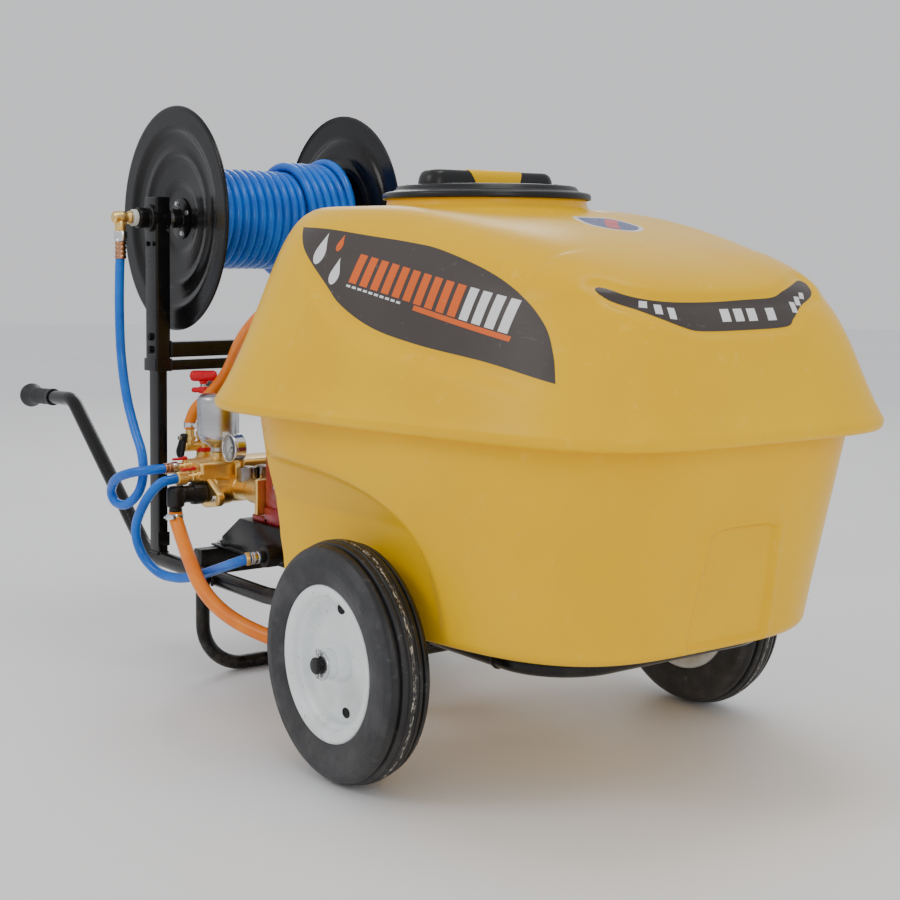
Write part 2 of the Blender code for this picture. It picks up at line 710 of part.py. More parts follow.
def reel():
    hub = (POST_X, 0, REEL_Z)
    steps = [(0.0130, 0.0), (0.060, 0.0), (0.080, 0.004), (0.118, 0.009), (0.160, 0.013)]
    steps += [(0.178, 0.0195), (0.212, 0.0205), (REEL_RADIUS, 0.0135)]
    disc = steps + [(r - 0.0012, h - 0.0018) for r, h in reversed(steps[1:])] + [(0.0130, -0.0018)]
    for side in (-1, 1):
        at = (POST_X, side * DISC_Y, REEL_Z)
        facing = [(r, -side * (0.0205 - h)) for r, h in disc]
        place(side_name(side) + "_reel_disc", turned(facing, 32, "Y"), paint(), at)
    end = DISC_Y - 0.0205 - 0.0018 - FIT
    core = [(DRUM_RADIUS - 0.002, -end), (DRUM_RADIUS, -end), (DRUM_RADIUS, end), (DRUM_RADIUS - 0.002, end)]
    place("reel_drum", turned(core, 24, "Y"), paint(), hub)
    place("reel_shaft", rod(SHAFT_RADIUS, -0.2855, 0.2840, "Y", 24, 0.001), steel(), hub)
    race = bore(SHAFT_RADIUS, 16)
    ring = [(race, -0.021), (0.026, -0.021), (0.026, -0.0155), (0.0182, -0.0155), (0.0182, 0.0155)]
    ring += [(0.0182, 0.017), (race, 0.017)]
    for side in (-1, 1):
        at = (POST_X, side * RAIL_Y, REEL_Z)
        shape = turned([(r, -side * h) for r, h in ring], 16, "Y")
        place(side_name(side) + "_bearing", shape, black_plastic(), at)
    arm = [(-0.016, 0.020), (0.016, 0.020), (0.013, -0.150), (-0.013, -0.150)]
    crank = place("crank_arm", prism(arm, 0.2845, 0.2905, "XZ"), paint(), hub)
    pivot = rod(0.005, 0.288, 0.372, "Y", 16)
    add(crank, place("crank_pin", pivot, steel(), (POST_X, 0, REEL_Z - CRANK_LENGTH)))
    hole = bore(0.005, 16)
    knob = [(hole, 0.0), (0.013, 0.0), (0.0155, 0.010), (0.0150, 0.060), (0.0115, 0.074), (hole, 0.074)]
    at = (POST_X, 0.2935, REEL_Z - CRANK_LENGTH)
    place("crank_knob", turned(knob, 16, "Y"), black_plastic(), at)


def winding():
    """The wound hose as one ring: two full layers, and a third over the far half."""
    inner, outer = DRUM_RADIUS + FIT, WINDING_RADIUS
    near, far = -WINDING_END, WINDING_END
    profile = [(inner, near), (outer, near), (outer, 0.02), (outer + 0.015, 0.035)]
    profile += [(outer + 0.015, far), (inner, far)]
    blue = material("blue_hose", BLUE, 0.35)
    place("hose_winding", turned(profile, 32, "Y"), blue, (POST_X, 0, REEL_Z))


def swivel():
    """The brass elbow that lets the shaft turn while the feed hose hangs still."""
    x, z = POST_X, REEL_Z
    body = [(0, -0.037), (0.009, -0.037), (0.0125, -0.034), (0.0125, -0.012), (0.010, -0.010)]
    body += [(0.010, -0.006), (0.013, -0.004), (0.013, 0.0), (0, 0.0)]
    elbow = place("swivel_elbow", turned(body, 14, "Y"), brass(), (x, -0.2858, z))
    drop = [(0, -0.044), (0.0095, -0.044), (0.0095, -0.026), (0.012, -0.026), (0.012, -0.014)]
    drop += [(0.009, -0.013), (0.009, 0.002), (0, 0.002)]
    add(elbow, place("swivel_drop", turned(drop, 14), brass(), (x, -0.307, z)))


# ---------------------------------------------------------------- pump


def crankcase():
    x, z = CRANK_AXIS
    low = (x - 0.0745, PUMP_Y - 0.070, 0.312)
    high = (x + 0.0745, PUMP_Y + 0.070, 0.424)
    red = material("red_casting", RED, 0.35)
    case = place("crankcase", block(low, high, 0.016, 1), red)
    for k, y in enumerate((PUMP_Y - 0.056, PUMP_Y + 0.056)):
        leg = block((x - 0.074, y - 0.0125, BRACKET_TOP_Z + FIT), (x + 0.010, y + 0.0125, 0.318), 0.002)
        toe = block((x - 0.118, y - 0.0125, BRACKET_TOP_Z + FIT), (x - 0.060, y + 0.0125, 0.300), 0.002)
        add(case, place(f"crankcase_leg_{k}", leg, red), place(f"crankcase_toe_{k}", toe, red))
    boss = rod(0.030, -0.0762, 0.0762, "Y", 20, 0.003)
    add(case, place("crankcase_boss", boss, red, (x, PUMP_Y, z)))
    hole = rod(bore(0.010, 24), 0, 0.09, "Y", 24)
    cut(case, place("crank_bore", hole, red, (x, PUMP_Y + 0.02, z)))


def manifold():
    """Suction tube, three plunger cylinders, discharge block and valve caps in one brass casting."""
    metal = brass()
    tube = [(0, -0.103), (0.021, -0.103), (0.0245, -0.099), (0.0245, 0.076), (0.020, 0.080), (0, 0.080)]
    body = place("manifold", turned(tube, 20, "Y"), metal, (-0.702, PUMP_Y, 0.330))
    parts = [place("discharge_block", block((-0.768, -0.236, 0.350), (-0.690, -0.036, 0.3875), 0.004), metal)]
    for k in (-1, 0, 1):
        y = PLUNGER_Y + k * CYLINDER_PITCH
        cylinder = rod(0.0235, -0.145, -0.003, "X", 14)
        parts.append(place(f"cylinder_{k + 1}", cylinder, metal, (-0.556, y, 0.338)))
        seat = rod(0.0155, 0.330, 0.352, "Z", 14)
        parts.append(place(f"valve_seat_{k + 1}", seat, metal, (VALVE_X, y, 0)))
        cap = prism(polygon(6, 0.0172, 8 * k), 0.351, 0.3795)
        parts.append(place(f"valve_cap_{k + 1}", cap, metal, (VALVE_X, y, 0)))
    flange = block((-0.566, PUMP_Y - 0.082, 0.303), (-0.5561, PUMP_Y + 0.082, 0.368), 0.002)
    parts.append(place("cylinder_flange", flange, metal))
    inlet = prism(oval(0.0290, 0.0110, 0.042, 5), -0.1115, -0.098, "XZ")
    inlet.transform(Matrix.Rotation(math.radians(10), 4, "Y"))
    parts.append(place("inlet_flange", inlet, metal, (-0.702, PUMP_Y, 0.330)))
    neck = rod(0.0125, -0.008, 0.012, "Z", 14)
    parts.append(place("chamber_neck", neck, metal, (*CHAMBER, 0.3875)))
    riser = rod(0.008, 0.345, 0.386, "Z", 10)
    parts.append(place("gauge_riser", riser, metal, (GAUGE[0], GAUGE[1] + 0.014, 0)))
    for k, (x, z) in enumerate(OUTLETS):
        cock = rod(0.0095, -0.262, -0.230, "Y", 14)
        parts.append(place(f"cock_{k}", cock, metal, (x, 0, z)))
        stem = rod(0.0045, 0.0, 0.0135, "Z", 8)
        parts.append(place(f"cock_stem_{k}", stem, metal, (x, COCK_Y, z)))
    seat = block((REGULATOR[0] - 0.014, REGULATOR[1] - 0.014, 0.354), (-0.76, REGULATOR[1] + 0.014, 0.380))
    parts.append(place("regulator_seat", seat, metal))
    add(body, *parts)


def pump_fittings():
    x, y = CHAMBER
    shell = [(0, 0.4002), (0.0125, 0.4002), (0.0150, 0.403), (0.0150, 0.410), (0.0320, 0.421)]
    shell += [(0.0400, 0.431), (0.0400, 0.500), (0.0360, 0.508), (0.0220, 0.5125), (0, 0.5130)]
    place("air_chamber", turned(shell, 24), chrome(), (x, y, 0))
    x, y = REGULATOR
    body = [(0, 0.3803), (0.0150, 0.3803), (0.0150, 0.392), (0.0135, 0.394), (0.0135, 0.420)]
    body += [(0.0160, 0.422), (0.0160, 0.430), (0.0080, 0.436), (0.0044, 0.436), (0.0044, 0.410)]
    body += [(0, 0.410)]
    regulator = place("regulator_body", turned(body, 12), brass(), (x, y, 0))
    outlet = rod(0.0095, -0.038, 0.0, "Y", 10)
    add(regulator, place("bypass_outlet", outlet, brass(), (x, y, 0.402)))
    up = rod(0.0090, -0.005, 0.034, "Z", 10)
    add(regulator, place("bypass_spout", up, brass(), (x, y - 0.030, 0.402)))
    pivot = rod(0.0035, -0.052, -0.030, "Y", 12)
    add(regulator, place("lever_pivot", pivot, brass(), (x, y, LEVER_Z)))
    knob = place("regulator_knob", rod(0.0040, 0.4112, 0.532, "Z", 12), red_plastic(), (x, y, 0))
    for part, reach, half, low, high in (("knob_wing", 0.024, 0.008, 0.506, 0.516),
                                         ("knob_bar", 0.0275, 0.0095, 0.528, 0.549)):
        bar = block((-half, -reach, low), (half, reach, high), 0.004, 1)
        bar.transform(Matrix.Rotation(math.radians(-KNOB_TURN), 4, "Z"))
        add(knob, place(part, bar, red_plastic(), (x, y, 0)))
    lever = arc((0, 0), 0.0085, 20, 160, 5) + arc((0, -0.032), 0.0125, 190, 350, 6)
    blade = prism(lever, -0.0480, -0.0400, "XZ")
    blade.transform(Matrix.Rotation(math.radians(25), 4, "Y"))
    arm = place("relief_lever", blade, black_plastic(), (x, y, LEVER_Z))
    hole = rod(0.0035 + 2 * RUN, -0.06, -0.02, "Y", 12)
    cut(arm, place("lever_hole", hole, brass(), (x, y, LEVER_Z)))
    for k, (cx, cz) in enumerate(OUTLETS):
        at = (cx, COCK_Y, cz + 0.0140)
        plate = block((-0.004, -0.026, 0.0), (0.004, 0.005, 0.004), 0.001)
        place(("upper", "lower")[k] + "_cock_lever", plate, red_plastic(), at)
    elbow = rod(0.0165, -0.064, -0.0003, "Y", 16)
    at = (-0.702, PUMP_Y - 0.112, 0.330)
    bend = place("suction_elbow", elbow, black_plastic(), at)
    drop = [(0, -0.030), (0.0125, -0.030), (0.0125, -0.022), (0.0165, -0.020), (0.0165, 0.010)]
    drop += [(0.010, 0.0165), (0, 0.0165)]
    add(bend, place("elbow_drop", turned(drop, 16), black_plastic(), (at[0], -0.283, at[2])))


def gauge():
    """A bottom-entry pressure gauge: a cup that holds the dial, a needle on a spindle and a lens."""
    case = [(0, 0.016), (0.0265, 0.016), (0.0275, 0.012), (0.0275, -0.010), (0.0245, -0.010)]
    case += [(0.0245, 0.0), (0.0015, 0.0), (0.0015, -0.0035), (0, -0.0035)]
    body = place("gauge_case", turned(case, 20, "Y"), chrome(), GAUGE)
    stem = rod(0.0060, -0.0278, -0.020, "Z", 12)
    add(body, place("gauge_stem", stem, brass(), (GAUGE[0], GAUGE[1] + 0.014, GAUGE[2])))
    lens = rod(0.0242, -0.0095, -0.0080, "Y", 20)
    place("gauge_lens", lens, material("glass", (0.9, 0.95, 0.95), 0.05), GAUGE)
    tip, tail = 0.018, -0.006
    shape = prism([(-0.0012, tail), (0.0012, tail), (0.0004, tip), (-0.0004, tip)], -0.0046, -0.0040, "XZ")
    shape.transform(Matrix.Rotation(math.radians(NEEDLE_START), 4, "Y"))
    place("gauge_needle", shape, material("needle", (0.01, 0.01, 0.01), 0.5), GAUGE)


# ---------------------------------------------------------------- drive


def pulley(name, radius, at, shaft, low, high):
    """A grooved pulley fixed on its shaft, which reaches from low to high along Y."""
    w, depth = 0.011, 0.010
    profile = [(0, low), (shaft, low), (shaft, -w), (radius, -w), (radius - depth, -w + 0.006)]
    profile += [(radius - depth, w - 0.006), (radius, w), (shaft, w), (shaft, high), (0, high)]
    if high <= w:
        profile = profile[:-4] + [(radius, w), (0, w)]
    place(name, turned(profile, 24, "Y"), material("pulley_iron", (0.2, 0.2, 0.21), 0.5, 0.8), at)


def belt_loop(grow, steps):
    """The outline around both pulleys, at a distance outside the groove's bottom."""
    (x1, z1), (x2, z2) = MOTOR_AXIS, CRANK_AXIS
    r1 = MOTOR_PULLEY_RADIUS - 0.010 + grow
    r2 = PUMP_PULLEY_RADIUS - 0.010 + grow
    heading = math.degrees(math.atan2(z2 - z1, x2 - x1))
    lean = math.degrees(math.asin((r2 - r1) / math.dist(MOTOR_AXIS, CRANK_AXIS)))
    small = arc((x1, z1), r1, heading + 90 + lean, heading + 270 - lean, steps)
    return small + arc((x2, z2), r2, heading - 90 - lean, heading + 90 + lean, steps + 6)


def loop_band(name, inside, outside, low, high, mat):
    """A closed band around both pulleys."""
    steps = 9
    bm = bmesh.new()
    rings = []
    for grow in (inside, outside):
        for y in (low, high):
            rings.append([bm.verts.new((x, y, z)) for x, z in belt_loop(grow, steps)])
    count = len(rings[0])
    for p, q in ((0, 1), (2, 3), (0, 2), (1, 3)):
        for i in range(count):
            j = (i + 1) % count
            bm.faces.new((rings[p][i], rings[p][j], rings[q][j], rings[q][i]))
    return place(name, bm, mat)


def drive():
    """Electric motor, belt and pulleys. The pump turns at half the motor's speed."""
    x, z = CRANK_AXIS
    pump_low = PUMP_Y + 0.024 - BELT_Y
    pulley("pump_pulley", PUMP_PULLEY_RADIUS, (x, BELT_Y, z), 0.010, pump_low, 0.011)
    x, z = MOTOR_AXIS
    pulley("motor_pulley", MOTOR_PULLEY_RADIUS, (x, BELT_Y, z), 0.008, -0.011, 0.052 - BELT_Y)
    loop_band("drive_belt", 0.001, 0.009, BELT_Y - 0.0045, BELT_Y + 0.0045,
              material("belt_rubber", (0.02, 0.02, 0.02), 0.7))
    guard = loop_band("belt_guard", 0.0175, 0.0195, BELT_Y - 0.013, BELT_Y + 0.013, paint())
    foot = block((CRANK_AXIS[0] - 0.02, BELT_Y - 0.012, DECK_Z + DECK_THICK + FIT),
                 (CRANK_AXIS[0] + 0.02, BELT_Y + 0.012, 0.2936), 0.0)
    add(guard, place("guard_foot", foot, paint()))
    y0, y1 = 0.024, 0.285
    shell = [(0, y0 + 0.008), (0.030, y0), (0.050, y0), (0.074, y0 + 0.010), (0.078, y0 + 0.016)]
    shell += [(0.078, y1 - 0.055), (0.080, y1 - 0.053), (0.080, y1 - 0.008), (0.070, y1), (0, y1)]
    grey = material("motor_paint", (0.16, 0.19, 0.23), 0.45)
    motor = place("motor", turned(shell, 20, "Y"), grey, (x, 0, z))
    base = DECK_Z + DECK_THICK + FIT
    for k, y in enumerate((0.070, 0.180)):
        foot = block((x - 0.075, y - 0.018, base), (x + 0.075, y + 0.018, base + 0.030))
        add(motor, place(f"motor_foot_{k}", foot, grey))
    box = block((x - 0.045, 0.075, z + 0.066), (x + 0.045, 0.175, z + 0.112), 0.005)
    add(motor, place("terminal_box", box, grey))
    gland = rod(0.010, 0.0, 0.020, "Y", 12)
    add(motor, place("cable_gland", gland, grey, (x, 0.170, z + 0.092)))
    hole = rod(bore(0.008, 24), 0.0, 0.060, "Y", 24)
    cut(motor, place("motor_bore", hole, grey, (x, 0.0, z)))


# ---------------------------------------------------------------- hoses


def hoses():
    blue = material("blue_hose", BLUE, 0.35)
    orange = material("orange_hose", ORANGE, 0.4)
    hose("feed_hose", FEED_ROUTE, HOSE_RADIUS, blue)
    hose("agitator_hose", AGITATOR_ROUTE, HOSE_RADIUS, blue)
    hose("suction_hose", SUCTION_ROUTE, SUCTION_RADIUS, orange)
    hose("return_hose", RETURN_ROUTE, RETURN_RADIUS, orange)


def main():
    global cart
    clear_scene()
    cart = bpy.data.objects.new("cart", None)
    bpy.context.scene.collection.objects.link(cart)
    cart.location = (AXLE_X, 0, 0)
    chassis_rails()
    rear_cross_beam()
    axle_bar()
    rear_stand()
    posts_and_reel_stand()
    deck_and_bracket()
    grips()
    tank()
    lid_and_strainer()
    tank_fittings()
    wheels()
    reel()
    winding()
    swivel()
    crankcase()
    manifold()
    pump_fittings()
    gauge()
    drive()
    hoses()


main()
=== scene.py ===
"""Wheeled sprayer cart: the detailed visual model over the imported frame. Metres, +X to the nose, +Z up."""

import math

import bmesh
import bpy
from mathutils import Matrix, Vector, noise
from mathutils.bvhtree import BVHTree


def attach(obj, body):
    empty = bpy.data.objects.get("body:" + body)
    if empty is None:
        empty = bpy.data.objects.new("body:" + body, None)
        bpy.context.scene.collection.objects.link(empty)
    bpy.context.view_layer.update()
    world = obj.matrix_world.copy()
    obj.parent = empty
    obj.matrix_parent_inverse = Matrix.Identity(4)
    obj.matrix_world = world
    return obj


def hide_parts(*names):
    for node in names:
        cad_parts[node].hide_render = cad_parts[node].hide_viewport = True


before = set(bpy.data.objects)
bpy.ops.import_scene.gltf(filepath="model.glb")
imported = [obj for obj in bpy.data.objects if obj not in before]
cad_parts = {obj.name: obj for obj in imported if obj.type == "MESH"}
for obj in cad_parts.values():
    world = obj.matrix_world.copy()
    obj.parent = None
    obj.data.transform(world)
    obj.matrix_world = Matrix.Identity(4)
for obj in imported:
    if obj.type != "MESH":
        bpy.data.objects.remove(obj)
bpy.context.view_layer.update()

AXLE_X = 0.5077  # the axle's place ahead of the cart's middle; all numbers below are measured from the axle
WHEEL_RADIUS = 0.180
WHEEL_Y = 0.362
TUBE_RADIUS = 0.015
RAIL_Y = 0.229
RAIL_TOP_Z = 0.2078
RAIL_LOW_Z = 0.178
POST_X = -0.881
REEL_Z = 0.846
DISC_Y = 0.198
HOSE_RADIUS = 0.009
SUCTION_RADIUS = 0.013
RETURN_RADIUS = 0.011
LEDGE_Z = 0.529
LIP_Z = 0.545
NECK_X = -0.131
NECK_RADIUS = 0.1655
NECK_TOP_Z = 0.872
TANK_FLOOR_Z = 0.2233
DECK_Z = 0.2218
PUMP_Y = -0.112
CRANK_AXIS = (-0.4805, 0.372)
MOTOR_AXIS = (-0.655, 0.3065)
BELT_Y = -0.016
GAUGE = (-0.672, -0.178, 0.414)
REGULATOR = (-0.824, -0.160)
CHAMBER = (-0.735, -0.176)
VALVE_X = -0.652
CYLINDERS_Y = (-0.160, -0.124, -0.088)
BRACKET_TOP_Z = 0.288
AXLE_END_Y = 0.416
PIN_Y = 0.4095
OUTLETS = ((-0.735, 0.376), (-0.701, 0.3605))
COCK_Y = -0.247
OUTLET = (-0.170, -0.100)
RETURN_INLET = (-0.4075, -0.190, 0.690)
AGITATOR = (-0.445, -0.190, 0.251)


# ---------------------------------------------------------------- camera and studio


def make_camera():
    """The viewpoint: beside and ahead of the cart, a little above the deck, looking back along it."""
    place = Vector((1.949 + AXLE_X, -1.618, 0.786))
    yaw, pitch, roll = (math.radians(a) for a in (53.0607, 3.0172, 0.3009))
    ahead = Vector((-math.sin(yaw) * math.cos(pitch), math.cos(yaw) * math.cos(pitch), -math.sin(pitch)))
    level = Vector((math.cos(yaw), math.sin(yaw), 0))
    upright = level.cross(ahead)
    right = math.cos(roll) * level + math.sin(roll) * upright
    up = math.cos(roll) * upright - math.sin(roll) * level
    data = bpy.data.cameras.new("camera")
    data.lens, data.sensor_width = 63.398, 36
    data.shift_x, data.shift_y = -0.01103, -0.12881
    data.clip_end = 60
    camera = bpy.data.objects.new("camera", data)
    bpy.context.scene.collection.objects.link(camera)
    camera.matrix_world = Matrix((
        (right.x, up.x, -ahead.x, place.x),
        (right.y, up.y, -ahead.y, place.y),
        (right.z, up.z, -ahead.z, place.z),
        (0, 0, 0, 1),
    ))
    bpy.context.scene.camera = camera


def soft_light(name, at, aim, size, power, colour=(1, 1, 1)):
    data = bpy.data.lights.new(name, "AREA")
    data.shape, data.size, data.size_y, data.energy = "RECTANGLE", size[0], size[1], power
    data.color = colour
    lamp = bpy.data.objects.new(name, data)
    bpy.context.scene.collection.objects.link(lamp)
    lamp.location = at
    lamp.rotation_mode = "QUATERNION"
    lamp.rotation_quaternion = (Vector(aim) - Vector(at)).to_track_quat("-Z", "Y")


def make_studio():
    world = bpy.data.worlds.new("studio")
    bpy.context.scene.world = world
    world.use_nodes = True
    sky = world.node_tree.nodes["Background"]
    sky.inputs["Color"].default_value = (0.96, 0.97, 1.0, 1)
    sky.inputs["Strength"].default_value = 0.80
    soft_light("key", (-0.6, -3.4, 2.9), (0.0, 0, 0.45), (1.6, 1.2), 30, (1, 0.985, 0.96))
    soft_light("front", (4.0, -1.4, 1.9), (0.4, 0, 0.5), (1.2, 1.0), 20)
    soft_light("top", (0.9, 0.2, 3.6), (0.2, 0, 0.5), (1.3, 1.0), 22)
    soft_light("back", (-3.4, 2.6, 2.6), (0, 0, 0.5), (1.6, 1.6), 26)


# ---------------------------------------------------------------- outlines and paths


def arc(centre, radius, start, end, steps):
    angles = [math.radians(start + (end - start) * i / steps) for i in range(steps + 1)]
    return [(centre[0] + radius * math.cos(a), centre[1] + radius * math.sin(a)) for a in angles]


def polygon(count, radius, turn=0.0):
    return arc((0, 0), radius, turn, turn + 360 * (count - 1) / count, count - 1)


def oval(middle, end, reach, steps):
    """Outline of a two-bolt flange: a round middle that narrows to a lug on each side."""
    lean = math.degrees(math.acos((middle - end) / reach))
    outline = arc((reach, 0), end, -lean, lean, steps) + arc((0, 0), middle, lean, 180 - lean, steps)
    outline += arc((-reach, 0), end, 180 - lean, 180 + lean, steps)
    return outline + arc((0, 0), middle, 180 + lean, 360 - lean, steps)


def rounded_box(half_a, half_b, radius, steps=5):
    """Outline of a rounded rectangle around the origin."""
    outline = []
    for k, (a, b) in enumerate(((1, 1), (-1, 1), (-1, -1), (1, -1))):
        centre = (a * (half_a - radius), b * (half_b - radius))
        outline += arc(centre, radius, 90 * k, 90 * k + 90, steps)
    return outline


def rounded(corners, radii, steps=14):
    """A path through corners with each inner corner replaced by an arc."""
    path = [Vector(corners[0])]
    for before, corner, after, radius in zip(corners, corners[1:], corners[2:], radii):
        corner = Vector(corner)
        back = (Vector(before) - corner).normalized()
        ahead = (Vector(after) - corner).normalized()
        half = back.angle(ahead) / 2
        centre = corner + (back + ahead).normalized() * radius / math.sin(half)
        first = corner + back * radius / math.tan(half) - centre
        last = corner + ahead * radius / math.tan(half) - centre
        for i in range(steps + 1):
            path.append(centre + first.slerp(last, i / steps).normalized() * radius)
    path.append(Vector(corners[-1]))
    return path


def smooth_route(points, spacing):
    """Evenly spaced points read from a Catmull-Rom curve through given places."""
    points = [Vector(p) for p in points]
    points = [2 * points[0] - points[1]] + points + [2 * points[-1] - points[-2]]
    fine = []
    for a, b, c, d in zip(points, points[1:], points[2:], points[3:]):
        for i in range(40):
            t = i / 40
            bend = 2 * a - 5 * b + 4 * c - d + t * (3 * b - a - 3 * c + d)
            fine.append(0.5 * (2 * b + t * (c - a + t * bend)))
    fine.append(points[-2])
    lengths = [0.0]
    for a, b in zip(fine, fine[1:]):
        lengths.append(lengths[-1] + (b - a).length)
    count = max(2, round(lengths[-1] / spacing))
    route, k = [], 0
    for i in range(count + 1):
        want = lengths[-1] * i / count
        while k < len(fine) - 2 and lengths[k + 1] < want:
            k += 1
        share = (want - lengths[k]) / (lengths[k + 1] - lengths[k])
        route.append(fine[k].lerp(fine[k + 1], share))
    return route


def eased(points, size, steps=3, closed=False):
    """A line with each corner rounded off by up to the given size."""
    points = [Vector(p) for p in points]
    line = []
    for i, corner in enumerate(points):
        back = points[i - 1] - corner
        ahead = points[(i + 1) % len(points)] - corner
        reach = min(size, back.length * 0.45, ahead.length * 0.45)
        if (not closed and i in (0, len(points) - 1)) or reach < 1e-6:
            line.append(corner)
            continue
        first, last = corner + back.normalized() * reach, corner + ahead.normalized() * reach
        for k in range(steps + 1):
            t = k / steps
            line.append((1 - t) ** 2 * first + 2 * t * (1 - t) * corner + t * t * last)
    return line


def travelled(route):
    return sum((b - a).length for a, b in zip(route, route[1:]))


def smoothstep(value, low, high):
    share = min(max((value - low) / (high - low), 0), 1)
    return share * share * (3 - 2 * share)


def outline_distance(a, b, outline):
    """Distance from (a, b) to a closed outline, negative inside it."""
    best, inside = 1e9, False
    for (ax, ay), (bx, by) in zip(outline, outline[1:] + outline[:1]):
        dx, dy = bx - ax, by - ay
        share = min(max(((a - ax) * dx + (b - ay) * dy) / (dx * dx + dy * dy + 1e-12), 0), 1)
        best = min(best, (a - ax - share * dx) ** 2 + (b - ay - share * dy) ** 2)
        if (ay > b) != (by > b) and a < (bx - ax) * (b - ay) / (by - ay) + ax:
            inside = not inside
    return -math.sqrt(best) if inside else math.sqrt(best)


# ---------------------------------------------------------------- building blocks


def skin(bm, rows, closed_rows=False, round_columns=True):
    """Joins rows of vertices with faces; a row of one vertex is a pole."""
    pairs = list(zip(rows, rows[1:]))
    if closed_rows:
        pairs.append((rows[-1], rows[0]))
    for a, b in pairs:
        count = max(len(a), len(b))
        if count < 2:
            continue
        for i in range(count if round_columns else count - 1):
            j = (i + 1) % count
            corners = [a[i % len(a)], a[j % len(a)], b[j % len(b)], b[i % len(b)]]
            corners = [c for n, c in enumerate(corners) if c is not corners[n - 1]]
            if len(corners) > 2:
                bm.faces.new(corners)


def lathe(profile, sides=48, axis="Z", at=(0, 0, 0), soft=0.0006, steps=2, shape=None):
    """A solid of revolution with eased corners; shape can change each point as (r, h, angle) -> (r, h)."""
    closed = profile[0][0] > 1e-6
    line = eased(profile, soft, steps, closed) if soft else [Vector(p) for p in profile]
    bm = bmesh.new()
    rows = []
    for radius, height in line:
        row = []
        for k in range(sides if radius > 1e-6 else 1):
            turn = math.tau * k / sides
            r, h = shape(radius, height, turn) if shape else (radius, height)
            a, b = r * math.cos(turn), r * math.sin(turn)
            spot = {"X": (h, a, b), "Y": (a, h, b), "Z": (a, b, h)}[axis]
            row.append(bm.verts.new(Vector(spot) + Vector(at)))
        rows.append(row)
    skin(bm, rows, closed_rows=closed)
    return bm


def sweep(path, radius, sides=28, ring=False, section=None):
    """A solid along a path; radius is a number or a function of the share of the way along."""
    path = [Vector(p) for p in path]
    count = len(path)
    section = section or polygon(sides, 1.0)
    bm = bmesh.new()
    rows, side = [], None
    for i, point in enumerate(path):
        after = path[(i + 1) % count] if ring else path[min(i + 1, count - 1)]
        before = path[i - 1] if ring else path[max(i - 1, 0)]
        ahead = (after - before).normalized()
        if side is None:
            side = ahead.orthogonal().normalized()
            if abs(ahead.z) < 0.9:
                side = ahead.cross(Vector((0, 0, 1))).normalized()
        side = (side - ahead * side.dot(ahead)).normalized()
        up = ahead.cross(side)
        size = radius(i / (count - 1)) if callable(radius) else radius
        rows.append([bm.verts.new(point + size * (side * a + up * b)) for a, b in section])
    skin(bm, rows, closed_rows=ring)
    if not ring:
        bm.faces.new(rows[0])
        bm.faces.new(rows[-1])
    return bm


def plate(outline, low, high, plane="XY", bevel=0.0, steps=2):
    """A flat outline with thickness and eased edges."""
    order = {"XY": (0, 1, 2), "XZ": (0, 2, 1), "YZ": (1, 2, 0)}[plane]
    bm = bmesh.new()
    rows = []
    for level in (low, high):
        row = []
        for a, b in outline:
            point = [0, 0, 0]
            point[order[0]], point[order[1]], point[order[2]] = a, b, level
            row.append(bm.verts.new(point))
        rows.append(row)
    skin(bm, rows)
    ends = [bm.faces.new(rows[0]), bm.faces.new(rows[1])]
    bmesh.ops.recalc_face_normals(bm, faces=bm.faces)
    if bevel:
        edges = [e for e in bm.edges if len(e.link_faces) == 2
                 and (e.link_faces[0] in ends) != (e.link_faces[1] in ends)]
        bmesh.ops.bevel(bm, geom=edges, offset=bevel, segments=steps, profile=0.5, affect="EDGES")
    return bm


def slab(low, high, bevel=0.0015, steps=3):
    """A block with every edge rounded."""
    bm = bmesh.new()
    bmesh.ops.create_cube(bm, size=1)
    size = [b - a for a, b in zip(low, high)]
    bmesh.ops.scale(bm, vec=size, verts=bm.verts)
    bmesh.ops.translate(bm, vec=[(a + b) / 2 for a, b in zip(low, high)], verts=bm.verts)
    bmesh.ops.bevel(bm, geom=bm.edges[:], offset=bevel, segments=steps, profile=0.5, affect="EDGES")
    return bm


def square_tube(low, high, wall, axis, corner=0.004):
    """A hollow rectangular tube with rounded corners, open at both ends."""
    k = "XYZ".index(axis)
    a, b = [i for i in range(3) if i != k]
    half = [(high[i] - low[i]) / 2 for i in (a, b)]
    middle = [(high[i] + low[i]) / 2 for i in (a, b)]
    bm = bmesh.new()
    rows = []
    edge = 0.0006
    for inset, far in ((0, low[k] + edge), (edge, low[k]), (wall, low[k]), (wall, high[k]),
                       (edge, high[k]), (0, high[k] - edge)):
        row = []
        for s, t in rounded_box(half[0] - inset, half[1] - inset, max(corner - inset, 0.001)):
            point = [0, 0, 0]
            point[k], point[a], point[b] = far, middle[0] + s, middle[1] + t
            row.append(bm.verts.new(point))
        rows.append(row)
    skin(bm, rows, closed_rows=True)
    return bm


def join(*parts):
    """Several closed bodies that make one piece."""
    whole = parts[0]
    for part in parts[1:]:
        mesh = bpy.data.meshes.new("joined")
        part.to_mesh(mesh)
        part.free()
        whole.from_mesh(mesh)
        bpy.data.meshes.remove(mesh)
    return whole


def moved(bm, at=(0, 0, 0), along=None, turn=0.0, axis="Z"):
    """Turns a body about its own axis, points its +Z along a direction, and moves it."""
    if turn:
        bm.transform(Matrix.Rotation(math.radians(turn), 4, axis))
    if along is not None:
        bm.transform(Vector(along).to_track_quat("Z", "Y").to_matrix().to_4x4())
    bmesh.ops.translate(bm, vec=at, verts=bm.verts)
    return bm


